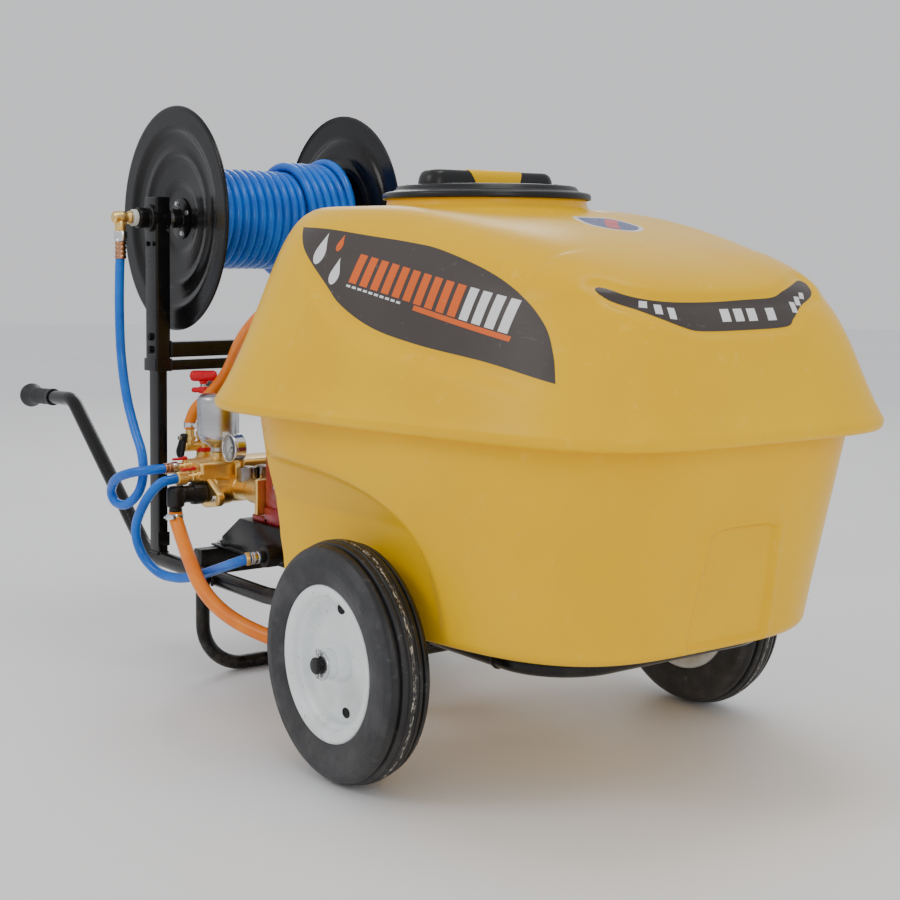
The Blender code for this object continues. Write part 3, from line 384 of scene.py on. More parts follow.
def hexagon(across, low, high):
    """A hexagonal bar with chamfered corners, around Z."""
    corner = across / math.sqrt(3)
    rows = []
    bm = bmesh.new()
    rise = (high - low) * 0.14
    for grow, level in ((0.90, low), (1.0, low + rise), (1.0, high - rise), (0.90, high)):
        rows.append([bm.verts.new((a, b, level)) for a, b in eased_outline(6, corner, grow)])
    skin(bm, rows)
    bm.faces.new(rows[0])
    bm.faces.new(rows[-1])
    return bm


def eased_outline(count, corner, grow):
    """A polygon whose corners are cut towards a circle when grow is under 1."""
    line = []
    flat = corner * math.cos(math.pi / count)
    for k in range(count * 6):
        turn = math.tau * k / (count * 6)
        off = (turn + math.pi / count) % (math.tau / count) - math.pi / count
        reach = flat / math.cos(math.pi / count - abs(off))
        line.append((min(reach, corner * (0.985 if grow == 1.0 else grow)) * math.cos(turn),
                     min(reach, corner * (0.985 if grow == 1.0 else grow)) * math.sin(turn)))
    return line


def bolt(at, along, size=0.008, washer=True, turn=12):
    """A hexagon head on a washer, seated at a point and facing along a direction."""
    head = moved(hexagon(size * 1.65, size * 0.16, size * 0.80), turn=turn)
    parts = [head,
        lathe([(0, -0.002), (size * 0.42, -0.002), (size * 0.42, size * 0.9), (0, size * 0.9)], 20)]
    if washer:
        parts.append(lathe([(size * 0.4, 0), (size * 1.02, 0), (size * 1.02, size * 0.17),
            (size * 0.4, size * 0.17)],
                           28, soft=0.0003))
    return moved(join(*parts), at, along)


def bead(path, radius=0.0028, ring=False):
    """A weld bead: overlapping ripples along a seam."""
    count = max(6, round(travelled([Vector(p) for p in path]) / 0.0011))
    route = smooth_route(path, travelled([Vector(p) for p in path]) / count)
    step = math.tau / 5.2

    def swell(share):
        end = 1 if ring else min(1, 12 * share + 0.35, 12 * (1 - share) + 0.35)
        return radius * end * (0.90 + 0.13 * abs(math.sin(share * len(route) * step / 2)))

    return sweep(route[:-1] if ring else route, swell, 10, ring=ring)


def ring_bead(centre, normal, radius, size=0.0026, start=0, end=360):
    """A weld bead around a tube."""
    turn = Vector(normal).to_track_quat("Z", "Y")
    points = [Vector(centre) + turn @ Vector((a, b, 0)) for a, b in arc((0, 0), radius, start, end, 24)]
    return bead(points, size, ring=end - start >= 360)


def clamp(at, along, radius, width=0.009, turn=0.0):
    """A worm-drive band clamp around a hose."""
    band = lathe([(radius, -width / 2), (radius + 0.0011, -width / 2), (radius + 0.0011, width / 2),
                  (radius, width / 2)], 56, soft=0.0003)
    house = slab((radius + 0.0004, -0.0075, -width / 2 - 0.0008),
        (radius + 0.0065, 0.0075, width / 2 + 0.0008), 0.0016)
    screw = moved(hexagon(0.0075, 0.0, 0.0055), (radius + 0.0040, -0.0128, 0), (0, 1, 0))
    shank = moved(lathe([(0, 0), (0.0027, 0), (0.0027, 0.022), (0, 0.022)], 16),
        (radius + 0.0040, -0.0100, 0), (0, 1, 0))
    return moved(join(band, house, screw, shank), at, along, turn)


def crimped(start, end, radius, wall=0.0016, grooves=3):
    """A crimped hose ferrule from start to end."""
    start, end = Vector(start), Vector(end)
    long = (end - start).length
    profile = [(radius - 0.0002, 0), (radius + wall * 0.7, 0), (radius + wall, long * 0.06)]
    for k in range(grooves):
        middle = long * (0.24 + 0.52 * k / max(grooves - 1, 1))
        profile += [(radius + wall, middle - long * 0.075), (radius + wall * 0.45, middle - long * 0.035),
                    (radius + wall * 0.45, middle + long * 0.035), (radius + wall, middle + long * 0.075)]
    profile += [(radius + wall, long * 0.95), (radius + wall * 0.6, long), (radius - 0.0002, long)]
    return moved(lathe(profile, 40, soft=0.0005), start, end - start)


def knurled(start, end, radius, teeth=28, depth=0.0007):
    """A round nut with straight knurling."""
    start, end = Vector(start), Vector(end)
    long = (end - start).length
    profile = [(0, 0), (radius * 0.9, 0), (radius, long * 0.08), (radius, long * 0.3), (radius, long * 0.7),
               (radius, long * 0.92), (radius * 0.9, long), (0, long)]

    def teeth_shape(r, h, turn):
        bite = depth * (0.5 + 0.5 * math.cos(teeth * turn)) if r > radius * 0.95 else 0
        return r - bite, h

    return moved(lathe(profile, teeth * 6, soft=0.0004, shape=teeth_shape), start, end - start)


def put(name, bm, mat, body="chassis", nodes=(), angle=38):
    """Makes a piece that rides on a body, takes a finish and stands for CAD nodes."""
    bmesh.ops.translate(bm, vec=(AXLE_X, 0, 0), verts=bm.verts)
    bmesh.ops.recalc_face_normals(bm, faces=bm.faces)
    mesh = bpy.data.meshes.new(name)
    bm.to_mesh(mesh)
    bm.free()
    return settle(name, mesh, mat, body, nodes, angle)


def settle(name, mesh, mat, body="chassis", nodes=(), angle=38):
    name = name.replace(" ", "_")
    mesh.materials.append(mat)
    mesh.shade_smooth()
    mesh.set_sharp_from_angle(angle=math.radians(angle))
    obj = bpy.data.objects.new(name, mesh)
    bpy.context.scene.collection.objects.link(obj)
    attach(obj, body)
    if nodes:
        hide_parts(*nodes)
    return obj


# ---------------------------------------------------------------- surfaces


class Surface:
    """A procedural finish built up in layers over one Principled shader."""

    def __init__(self, name, low, high, rough, metal=0.0, coat=0.0, cloud=14, gloss=0.5):
        self.mat = bpy.data.materials.new(name)
        self.mat.use_nodes = True
        self.tree = self.mat.node_tree
        self.shader = self.tree.nodes["Principled BSDF"]
        self.shader.inputs["Metallic"].default_value = metal
        self.shader.inputs["Specular IOR Level"].default_value = gloss
        if coat:
            self.shader.inputs["Coat Weight"].default_value = coat
            self.shader.inputs["Coat Roughness"].default_value = 0.08
        self.where = self.node("ShaderNodeTexCoord").outputs["Object"]
        self.colour = self.mix(self.ramp(self.noise(cloud, 6), 0.3, 0.7), low, high)
        smear = self.ramp(self.noise(cloud * 0.45, 5, distort=1.2), 0.35, 0.68)
        self.rough = self.maths("MULTIPLY_ADD", smear, rough * 0.35, rough * 0.85)
        self.height = None

    def node(self, kind, **settings):
        made = self.tree.nodes.new(kind)
        for key, value in settings.items():
            setattr(made, key, value)
        return made

    def feed(self, socket, value):
        if isinstance(value, bpy.types.NodeSocket):
            self.tree.links.new(value, socket)
        elif isinstance(value, tuple) and len(value) == 3 and socket.type == "RGBA":
            socket.default_value = (*value, 1)
        else:
            socket.default_value = value

    def noise(self, scale, detail=4, rough=0.55, stretch=None, distort=0.0):
        where = self.where
        if stretch:
            mapping = self.node("ShaderNodeMapping")
            self.tree.links.new(where, mapping.inputs["Vector"])
            mapping.inputs["Scale"].default_value = stretch
            where = mapping.outputs["Vector"]
        made = self.node("ShaderNodeTexNoise")
        self.tree.links.new(where, made.inputs["Vector"])
        for key, value in (("Scale", scale), ("Detail", detail), ("Roughness", rough),
            ("Distortion", distort)):
            made.inputs[key].default_value = value
        return made.outputs["Fac"]

    def ramp(self, value, low, high, a=0.0, b=1.0):
        made = self.node("ShaderNodeMapRange", interpolation_type="SMOOTHSTEP")
        for socket, number in zip(made.inputs, (value, low, high, a, b)):
            self.feed(socket, number)
        return made.outputs["Result"]

    def maths(self, operation, *values):
        made = self.node("ShaderNodeMath", operation=operation)
        for socket, value in zip(made.inputs, values):
            self.feed(socket, value)
        return made.outputs["Value"]

    def mix(self, share, a, b):
        made = self.node("ShaderNodeMix", data_type="RGBA")
        self.feed(made.inputs["Factor"], share)
        self.feed(made.inputs[6], a)
        self.feed(made.inputs[7], b)
        return made.outputs[2]

    def axis(self, name):
        made = self.node("ShaderNodeSeparateXYZ")
        self.tree.links.new(self.where, made.inputs[0])
        return made.outputs[name]

    def layer(self, share, colour=None, rough=None):
        """Covers a share of the surface with another colour and roughness."""
        if colour:
            self.colour = self.mix(share, self.colour, colour)
        if rough is not None:
            keep = self.maths("SUBTRACT", 1.0, share)
            self.rough = self.maths("ADD", self.maths("MULTIPLY", self.rough, keep),
                                    self.maths("MULTIPLY", share, rough))
        return self

    def speckle(self, scale, low, high, amount, colour, rough, stretch=None):
        share = self.maths("MULTIPLY", self.ramp(self.noise(scale, 5, stretch=stretch), low, high), amount)
        return self.layer(share, colour, rough)

    def low_dust_and_shade(self, top, amount, colour=(0.30, 0.26, 0.20), rough=0.85):
        """Dust, and on the tank painted shade near the floor, that thickens towards the ground and lies in
        patches.
        """
        low = self.ramp(self.axis("Z"), top, 0.0)
        patches = self.ramp(self.noise(26, 6), 0.36, 0.66)
        share = self.maths("MULTIPLY", self.maths("MULTIPLY", low, patches), amount)
        return self.layer(share, colour, rough)

    def relief(self, value, amount):
        raised = self.maths("MULTIPLY", value, amount)
        self.height = raised if self.height is None else self.maths("ADD", self.height, raised)
        return self

    def grain(self, scale, amount, stretch=None, detail=3):
        return self.relief(self.noise(scale, detail, stretch=stretch), amount)

    def done(self):
        self.feed(self.shader.inputs["Base Color"], self.colour)
        self.feed(self.shader.inputs["Roughness"], self.rough)
        if self.height is not None:
            made = self.node("ShaderNodeBump")
            made.inputs["Strength"].default_value = 1.0
            made.inputs["Distance"].default_value = 1.0
            self.tree.links.new(self.height, made.inputs["Height"])
            self.tree.links.new(made.outputs["Normal"], self.shader.inputs["Normal"])
        return self.mat


def scratches(surface, scale=60, amount=0.35, colour=(0.3, 0.3, 0.3), rough=0.5, stretch=(1, 14, 1)):
    thin = surface.ramp(surface.noise(scale, 2, stretch=stretch), 0.66, 0.70)
    where = surface.ramp(surface.noise(9, 3), 0.52, 0.68)
    return surface.layer(surface.maths("MULTIPLY", surface.maths("MULTIPLY", thin, where), amount), colour,
        rough)


def tank_surface():
    s = Surface("tank_plastic", (0.88, 0.49, 0.0), (0.94, 0.55, 0.0), 0.30, cloud=3.2, gloss=0.15)
    s.speckle(34, 0.63, 0.70, 0.30, (0.95, 0.60, 0.07), 0.5)
    s.speckle(85, 0.66, 0.72, 0.35, (0.93, 0.62, 0.10), 0.55)
    scratches(s, 30, 0.22, (0.95, 0.75, 0.25), 0.5, (1, 1, 9))
    # Painted shade near the floor, with a little dust: a darker tone of the yellow low on the tank.
    s.low_dust_and_shade(0.34, 0.12, (0.62, 0.40, 0.09))
    s.grain(9, 0.0016)
    return s.grain(420, 0.00006).done()


def paint_surface():
    s = Surface("black_paint", (0.0035, 0.0035, 0.0038), (0.0075, 0.0075, 0.008), 0.20, gloss=0.27)
    scratches(s, 70, 0.5, (0.10, 0.10, 0.10), 0.45, (7, 1, 1))
    s.speckle(300, 0.68, 0.74, 0.5, (0.12, 0.11, 0.10), 0.6)
    s.low_dust_and_shade(0.30, 0.30, (0.16, 0.14, 0.11))
    return s.grain(170, 0.00022).grain(700, 0.00004).done()


def plastic_surface(name, low, high, rough, texture=0.00010):
    s = Surface(name, low, high, rough, gloss=0.36)
    scratches(s, 90, 0.4, tuple(min(1, 3 * c + 0.05) for c in high), rough + 0.15, (1, 8, 1))
    s.speckle(160, 0.66, 0.73, 0.25, tuple(min(1, 2 * c + 0.04) for c in high), rough + 0.2)
    return s.grain(900, texture).grain(60, 0.0002).done()


def metal_surface(name, low, high, rough, stain, brushed=(1, 1, 30), stain_amount=0.4, relief=0.00005):
    s = Surface(name, low, high, rough, metal=1.0, cloud=22)
    s.speckle(28, 0.48, 0.74, stain_amount, stain, min(rough + 0.22, 0.9))
    line = s.noise(160, 3, stretch=brushed)
    s.rough = s.maths("ADD", s.rough, s.maths("MULTIPLY", s.maths("SUBTRACT", line, 0.5), 0.25))
    return s.relief(line, relief).grain(620, 0.00004).done()


def cast_brass_surface():
    s = Surface("brass", (0.82, 0.53, 0.17), (0.94, 0.66, 0.24), 0.34, metal=1.0, cloud=30)
    s.speckle(46, 0.56, 0.76, 0.35, (0.50, 0.29, 0.08), 0.42)
    return s.grain(260, 0.00012).grain(900, 0.00005).done()


def casting_surface():
    s = Surface("red_casting", (0.22, 0.003, 0.008), (0.32, 0.006, 0.012), 0.26, coat=0.2, cloud=26)
    s.speckle(120, 0.64, 0.72, 0.5, (0.10, 0.02, 0.02), 0.7)
    return s.grain(150, 0.0007).grain(560, 0.00016).done()


def rubber_surface(name, low, high, rough, dust):
    s = Surface(name, low, high, rough, cloud=24)
    s.speckle(44, 0.50, 0.75, 0.5, tuple(2.2 * c for c in high), rough)
    if dust:
        s.low_dust_and_shade(0.45, dust, (0.13, 0.125, 0.12), 0.9)
    return s.grain(340, 0.0002).grain(1100, 0.00005).done()


def tyre_surface():
    """Dusty sidewalls with light scuffs, and a pale ragged mould seam around the tread."""
    s = Surface("tyre_rubber", (0.018, 0.0185, 0.021), (0.036, 0.037, 0.041), 0.50, cloud=9, gloss=0.42)
    across = s.maths("ABSOLUTE", s.maths("SUBTRACT", s.maths("ABSOLUTE", s.axis("Y")), WHEEL_Y))
    s.layer(s.maths("MULTIPLY", s.ramp(s.noise(17, 6), 0.45, 0.72), 0.6), (0.085, 0.085, 0.09), 0.66)
    tread = s.ramp(across, 0.0345, 0.0315)
    s.layer(s.maths("MULTIPLY", tread, 0.8), (0.009, 0.009, 0.0095), 0.36)
    s.speckle(70, 0.62, 0.74, 0.35, (0.16, 0.16, 0.155), 0.75)
    scratches(s, 60, 0.6, (0.25, 0.245, 0.23), 0.8, (6, 1, 6))
    around = s.maths("ARCTAN2", s.maths("SUBTRACT", s.axis("Z"), WHEEL_RADIUS),
        s.maths("SUBTRACT", s.axis("X"), AXLE_X))
    line = s.node("ShaderNodeCombineXYZ")
    for socket, value in zip(line.inputs,
        (s.maths("MULTIPLY", around, 2.2), s.maths("MULTIPLY", s.axis("Y"), 60.0), 0.0)):
        s.feed(socket, value)
    place, s.where = s.where, line.outputs["Vector"]
    rag = s.ramp(s.noise(7.0, 6, rough=0.75), 0.50, 0.60)
    wander = s.maths("MULTIPLY", s.maths("SUBTRACT", s.noise(1.6, 3), 0.5), 0.006)
    s.where = place
    seam = s.ramp(s.maths("ABSOLUTE",
        s.maths("ADD", s.maths("SUBTRACT", s.maths("ABSOLUTE", s.axis("Y")), WHEEL_Y), wander)),
                  0.0034, 0.0016)
    s.layer(s.maths("MULTIPLY", seam, rag), (0.60, 0.57, 0.50), 0.7)
    s.low_dust_and_shade(0.16, 0.2, (0.18, 0.165, 0.15))
    return s.grain(48, 0.0010).grain(420, 0.00022).done()


def rim_surface():
    s = Surface("rim_paint", (0.78, 0.83, 0.84), (0.90, 0.93, 0.93), 0.33, cloud=10)
    s.speckle(90, 0.64, 0.72, 0.6, (0.34, 0.27, 0.20), 0.7)
    scratches(s, 50, 0.5, (0.40, 0.38, 0.36), 0.6)
    # Darker brown-grey towards the bottom of the rim, in patches.
    s.low_dust_and_shade(0.30, 0.35, (0.42, 0.39, 0.34))
    return s.grain(120, 0.0004).grain(520, 0.00008).done()


def hose_surface(name, low, high, rough, weave=0.00010):
    s = Surface(name, low, high, rough, cloud=18, gloss=0.42)
    s.speckle(140, 0.62, 0.72, 0.35, tuple(0.8 * c + 0.06 for c in high), rough + 0.2)
    scratches(s, 55, 0.3, tuple(0.7 * c + 0.15 for c in high), 0.5, (1, 1, 7))
    return s.grain(230, weave).grain(820, 0.00005).done()


def flat_print(name, colour, rough=0.32):
    """Printed film: even colour with light rubbing, and a faint orange-peel."""
    s = Surface(name, tuple(0.90 * c for c in colour), colour, rough, cloud=7, gloss=0.3)
    scratches(s, 40, 0.3, tuple(0.6 * c + 0.3 for c in colour), 0.5, (1, 1, 8))
    s.speckle(120, 0.66, 0.73, 0.3, tuple(0.7 * c + 0.2 for c in colour), 0.5)
    return s.grain(60, 0.0003).grain(700, 0.00004).done()


def glass_surface():
    s = Surface("glass", (0.96, 0.98, 0.98), (1.0, 1.0, 1.0), 0.05)
    s.speckle(150, 0.60, 0.75, 0.6, (0.9, 0.9, 0.88), 0.22)
    s.shader.inputs["Transmission Weight"].default_value = 0.96
    s.shader.inputs["IOR"].default_value = 1.45
    return s.grain(90, 0.00004).done()


def floor_surface():
    s = Surface("studio_floor", (0.91, 0.91, 0.91), (0.94, 0.94, 0.945), 0.6, cloud=0.7)
    return s.grain(30, 0.0004).done()


PAINT = paint_surface()
STEEL = metal_surface("steel", (0.42, 0.42, 0.43), (0.62, 0.62, 0.63), 0.28, (0.30, 0.25, 0.20))
TANK = tank_surface()
PLASTIC = plastic_surface("black_plastic", (0.006, 0.006, 0.0065), (0.012, 0.012, 0.0125), 0.34)
GRIP = rubber_surface("grip_rubber", (0.008, 0.008, 0.009), (0.014, 0.014, 0.015), 0.55, 0)
SEAL = rubber_surface("seal_rubber", (0.024, 0.024, 0.025), (0.036, 0.036, 0.036), 0.62, 0)
TYRE = tyre_surface()
RIM = rim_surface()
NYLON = plastic_surface("nylon", (0.62, 0.62, 0.57), (0.74, 0.74, 0.69), 0.42)
BRASS = cast_brass_surface()
CHROME = metal_surface("chrome", (0.70, 0.70, 0.71), (0.84, 0.84, 0.85), 0.08, (0.50, 0.47, 0.43),
    stain_amount=0.25)
DARK_STEEL = metal_surface("dark_plated_steel", (0.20, 0.17, 0.155), (0.34, 0.30, 0.28), 0.20,
    (0.12, 0.10, 0.08))
STAINLESS = metal_surface("stainless", (0.46, 0.46, 0.47), (0.60, 0.60, 0.61), 0.24, (0.50, 0.48, 0.46),
                          brushed=(1, 1, 26), stain_amount=0.2, relief=0.00012)
ZINC = metal_surface("zinc_plate", (0.60, 0.62, 0.64), (0.80, 0.81, 0.82), 0.24, (0.42, 0.40, 0.36))
COPPER = metal_surface("crimped_copper", (0.42, 0.20, 0.11), (0.66, 0.36, 0.22), 0.24, (0.25, 0.12, 0.08))
CASTING = casting_surface()
RED = plastic_surface("red_plastic", (0.62, 0.002, 0.012), (0.74, 0.006, 0.018), 0.30)
BLUE_HOSE = hose_surface("blue_hose", (0.0, 0.115, 0.56), (0.0, 0.165, 0.72), 0.26)
ORANGE_HOSE = hose_surface("orange_hose", (0.86, 0.19, 0.002), (0.93, 0.255, 0.006), 0.36)
IRON = metal_surface("pulley_iron", (0.10, 0.10, 0.105), (0.20, 0.20, 0.205), 0.42, (0.16, 0.10, 0.06))
BELT = rubber_surface("belt_rubber", (0.016, 0.016, 0.017), (0.030, 0.030, 0.030), 0.6, 0)
MOTOR = plastic_surface("motor_paint", (0.075, 0.095, 0.13), (0.11, 0.135, 0.175), 0.34, 0.00016)
MESH_PLASTIC = plastic_surface("mesh_plastic", (0.035, 0.035, 0.035), (0.055, 0.055, 0.055), 0.45)
GLASS = glass_surface()
NEEDLE = flat_print("needle_black", (0.012, 0.012, 0.012))
DIAL = flat_print("dial_white", (0.86, 0.86, 0.84))
DECAL = flat_print("decal_dark", (0.062, 0.050, 0.045), 0.34)
DECAL_ORANGE = flat_print("decal_orange", (0.82, 0.135, 0.012), 0.34)
DECAL_WHITE = flat_print("decal_white", (0.84, 0.84, 0.85), 0.28)
DECAL_BLUE = flat_print("decal_blue", (0.035, 0.06, 0.22), 0.28)
DECAL_RED = flat_print("decal_red", (0.62, 0.03, 0.05), 0.28)
# Painted shade: a flat near-black for the dark hollows of the rim slots and the motor's fan-grille openings.
SLOT_SHADE_BLACK = flat_print("shadow_black", (0.010, 0.010, 0.011), 0.6)

make_camera()
make_studio()


# ---------------------------------------------------------------- hoses


FEED_ROUTE = [
    (-0.735, -0.2625, 0.376), (-0.735, -0.285, 0.376), (-0.748, -0.316, 0.374), (-0.782, -0.338, 0.366),
    (-0.826, -0.345, 0.350), (-0.862, -0.338, 0.322), (-0.857, -0.331, 0.301), (-0.822, -0.325, 0.301),
    (-0.792, -0.315, 0.326), (-0.786, -0.308, 0.360), (-0.802, -0.303, 0.400), (-0.838, -0.301, 0.444),
    (-0.873, -0.300, 0.502), (-0.896, -0.300, 0.580), (-0.899, -0.302, 0.670), (-0.888, -0.306, 0.745),
    (POST_X, -0.307, 0.784), (POST_X, -0.307, REEL_Z - 0.0445),
]
AGITATOR_ROUTE = [
    (-0.701, -0.2625, 0.3605), (-0.701, -0.285, 0.3605), (-0.706, -0.313, 0.353), (-0.732, -0.330, 0.318),
    (-0.766, -0.333, 0.264), (-0.762, -0.323, 0.216), (-0.723, -0.309, 0.186), (-0.672, -0.297, 0.182),
    (-0.620, -0.288, 0.192), (-0.560, -0.286, 0.211), (-0.500, -0.286, 0.231), (-0.455, -0.281, 0.247),
    (-0.445, -0.267, 0.251), (-0.445, -0.2525, 0.251),
]
SUCTION_ROUTE = [
    (-0.702, -0.283, 0.2995), (-0.702, -0.283, 0.287), (-0.665, -0.289, 0.256), (-0.610, -0.302, 0.226),
    (-0.545, -0.314, 0.192), (-0.485, -0.311, 0.163), (-0.420, -0.298, 0.143), (-0.345, -0.268, 0.127),
    (-0.270, -0.205, 0.114), (-0.205, -0.138, 0.110), (-0.170, -0.100, 0.138), (-0.170, -0.100, 0.1597),
]
RETURN_ROUTE = [
    (-0.824, -0.190, 0.4365), (-0.824, -0.190, 0.450), (-0.812, -0.184, 0.476), (-0.788, -0.167, 0.505),
    (-0.765, -0.152, 0.535), (-0.725, -0.155, 0.567), (-0.670, -0.172, 0.600), (-0.610, -0.187, 0.633),
    (-0.545, -0.192, 0.668), (-0.490, -0.190, 0.690), (-0.4598, -0.190, 0.690),
]


def cord_curve(name, route, radius, mat, body, node, sides=8):
    """A hose as one open curve with a round section."""
    curve = bpy.data.curves.new(name, "CURVE")
    curve.dimensions = "3D"
    curve.bevel_depth = radius
    curve.bevel_resolution = sides
    curve.use_fill_caps = True
    spline = curve.splines.new("POLY")
    spline.points.add(len(route) - 1)
    for point, spot in zip(spline.points, route):
        point.co = (spot[0] + AXLE_X, spot[1], spot[2], 1)
    spline.use_smooth = True
    curve.materials.append(mat)
    obj = bpy.data.objects.new(name.replace(" ", "_"), curve)
    bpy.context.scene.collection.objects.link(obj)
    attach(obj, body)
    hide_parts(node)
    return obj


def make_hose(name, points, radius, mat):
    route = [Vector(points[0])] + smooth_route(points[1:-1], radius * 0.6) + [Vector(points[-1])]
    obj = cord_curve(name, route, radius, mat, "chassis", name.replace(" ", "_"))


def make_hoses():
    x, z = OUTLETS[0]
    feed_ends = [
        put("feed hose outlet ferrule", crimped((x, -0.262, z), (x, -0.290, z), HOSE_RADIUS), COPPER),
        put("feed hose outlet sleeve",
            lathe([(0.0089, -0.274), (0.0118, -0.274), (0.0118, -0.2655), (0.0108, -0.263),
                                              (0.0089, -0.263)], 40, "Y", (x, 0, z)), ZINC),
        put("feed hose reel ferrule",
            crimped((POST_X, -0.307, REEL_Z - 0.046), (POST_X, -0.307, REEL_Z - 0.079),
                                              HOSE_RADIUS, 0.0018), COPPER),
    ]
    make_hose("feed hose", FEED_ROUTE, HOSE_RADIUS, BLUE_HOSE)
    x, z = OUTLETS[1]
    agitator_ends = [
        put("agitator hose outlet nut", knurled((x, -0.2615, z), (x, -0.282, z), 0.0128), BRASS),
        put("agitator hose end sleeve",
            crimped((-0.445, -0.254, 0.251), (-0.4455, -0.271, 0.2507), HOSE_RADIUS, 0.0016, 2),
            ZINC),
        put("agitator hose end ring",
            moved(lathe([(0.0088, 0), (0.0117, 0), (0.0117, 0.007), (0.0088, 0.007)], 40),
                                            (-0.4455, -0.271, 0.2507), (-0.35, -1, -0.1)), BRASS),
    ]
    make_hose("agitator hose", AGITATOR_ROUTE, HOSE_RADIUS, BLUE_HOSE)
    suction_ends = [
        put("suction hose pump clamp",
            clamp((-0.701, -0.283, 0.290), (0.12, -0.02, -1), SUCTION_RADIUS + 0.0002, turn=150),
            ZINC),
        put("suction hose tank clamp",
            clamp((OUTLET[0], OUTLET[1], 0.151), (0, 0, 1), SUCTION_RADIUS + 0.0002, turn=-60),
            ZINC),
    ]
    make_hose("suction hose", SUCTION_ROUTE, SUCTION_RADIUS, ORANGE_HOSE)
    x, y, z = RETURN_INLET
    return_ends = [
        put("return hose pump clamp",
            clamp((-0.824, -0.190, 0.445), (0.05, 0.02, 1), RETURN_RADIUS + 0.0002, turn=-70),
            ZINC),
        put("return hose tank clamp", clamp((x - 0.062, y, z), (-1, 0, 0), RETURN_RADIUS + 0.0002, turn=60),
            ZINC),
    ]
    make_hose("return hose", RETURN_ROUTE, RETURN_RADIUS, ORANGE_HOSE)


def winding_route():
    """The long hose from the drum outwards: out, back, out, and a short fourth layer at the far end."""
    pitch, steps = 0.01845, 44
    near, far = -0.1625, 0.1625
    layers = ((0.0545, near, far), (0.0728, far, near), (0.0911, near, far), (0.1094, far, 0.044))
    route, turn = [], math.radians(200)
    for k, (radius, start, end) in enumerate(layers):
        turns = abs(end - start) / pitch
        count = round(turns * steps)
        for i in range(count):
            share = i / count
            y = start + (end - start) * share
            step_up = 0.0183 * smoothstep(share * turns, turns - 0.45, turns) if k < 3 else 0
            loose = 0.0
            lean = 0.0
            if k == 2:
                loose = 0.0030 * smoothstep(-y, 0.095, 0.12) * (0.6 + 0.4 * math.sin(turn * 0.5))
                lean = 0.0016 * math.sin(turn + 0.6) * smoothstep(-y, 0.06, 0.10)
            if k == 3 and share * turns < 1.6:
                loose = 0.011 * max(0, math.cos(turn - math.radians(80))) ** 2 * smoothstep(share * turns,
                    0.1, 0.5)
            loose += 0.0005 * math.sin(3.1 * turn + k)
            r = radius + step_up + loose
            route.append(Vector((POST_X + r * math.cos(turn), y + lean, REEL_Z + r * math.sin(turn))))
            turn += math.tau / steps
    return route


def make_winding():
    route = winding_route()
    tip = route[-1]
    heading = (route[-1] - route[-3]).normalized()
    fitting = join(
        moved(lathe([(0.0088, -0.030), (0.0108, -0.030), (0.0112, -0.026), (0.0104, -0.022),
            (0.0112, -0.018),
                     (0.0104, -0.014), (0.0112, -0.010), (0.0112, 0.0), (0, 0.0), (0, -0.0005),
                     (0.0088, -0.001)],
                    36, soft=0.0004), tip, heading),
        moved(hexagon(0.019, 0.0, 0.012), tip, heading),
        moved(lathe([(0, 0.010), (0.0072, 0.010), (0.0072, 0.030), (0.0060, 0.032), (0, 0.032)], 32), tip,
            heading),
    )
    end = put("wound hose end fitting", fitting, BRASS, "reel")
    hose = cord_curve("wound hose", route, HOSE_RADIUS, BLUE_HOSE, "reel", "hose_winding", 5)


make_hoses()
make_winding()


# ---------------------------------------------------------------- tank


LENS_TOP = [(-0.229, 0.822), (-0.150, 0.818), (-0.048, 0.807), (0.040, 0.798), (0.116, 0.787),
    (0.221, 0.759),
            (0.295, 0.727), (0.347, 0.689), (0.373, 0.651), (0.388, 0.614)]
LENS_FOOT = [(-0.229, 0.822), (-0.209, 0.802), (-0.184, 0.782), (-0.112, 0.737), (-0.058, 0.703),
    (0.026, 0.672),
             (0.132, 0.653), (0.275, 0.636), (0.388, 0.614)]
BAND_TOP = [(-0.217, 0.734), (-0.213, 0.738), (-0.205, 0.737), (-0.187, 0.728), (-0.161, 0.722),
    (-0.121, 0.7185),
            (-0.053, 0.7180), (0.011, 0.7200), (0.068, 0.7225), (0.098, 0.7310), (0.149, 0.7430),
            (0.168, 0.7445),
            (0.180, 0.7400)]
BAND_FOOT = [(-0.217, 0.734), (-0.214, 0.727), (-0.205, 0.719), (-0.182, 0.709), (-0.157, 0.698),
    (-0.126, 0.686),
             (-0.098, 0.6805), (-0.018, 0.6800), (0.068, 0.6825), (0.091, 0.693), (0.120, 0.709),
             (0.165, 0.724),
             (0.180, 0.7400)]


def superellipse(turn, centre, half_length, half_width, taper, squareness):
    c, s = math.cos(turn), math.sin(turn)
    x = math.copysign(abs(c) ** (2 / squareness), c)
    y = math.copysign(abs(s) ** (2 / squareness), s)
    return centre + half_length * x, half_width * (1 - taper * x) * y


def blend(front, side, rear, turn):
    ahead = max(math.cos(turn), 0)
    behind = max(-math.cos(turn), 0) ** 0.6
    beside = max(1 - ahead - behind, 0)
    return (front * ahead + side * beside + rear * behind) / (ahead + beside + behind)


def bezier(values, t):
    n = len(values) - 1
    return sum(math.comb(n, i) * (1 - t) ** (n - i) * t**i * v for i, v in enumerate(values))


def hood_point(turn, t, inset):
    lip = superellipse(turn, 0.050, 0.471 - inset, 0.386 - inset, 0.1716, 4.75)
    neck = (NECK_X + (0.176 - inset) * math.cos(turn), (0.176 - inset) * math.sin(turn))
    inwards = [0, blend(0.15, 0.20, 0.25, turn), blend(0.03, 0.40, 0.48, turn)]
    inwards += [blend(0.59, 0.51, 0.40, turn), 1]
    heights = [LIP_Z, blend(0.692, 0.60, 0.644, turn), blend(0.782, 0.813, 0.898, turn)]
    heights += [blend(0.80, 0.875, 0.864, turn), 0.852]
    s = bezier(inwards, t)
    x, y = (a + (b - a) * s for a, b in zip(lip, neck))
    return x, y, bezier(heights, t) - inset


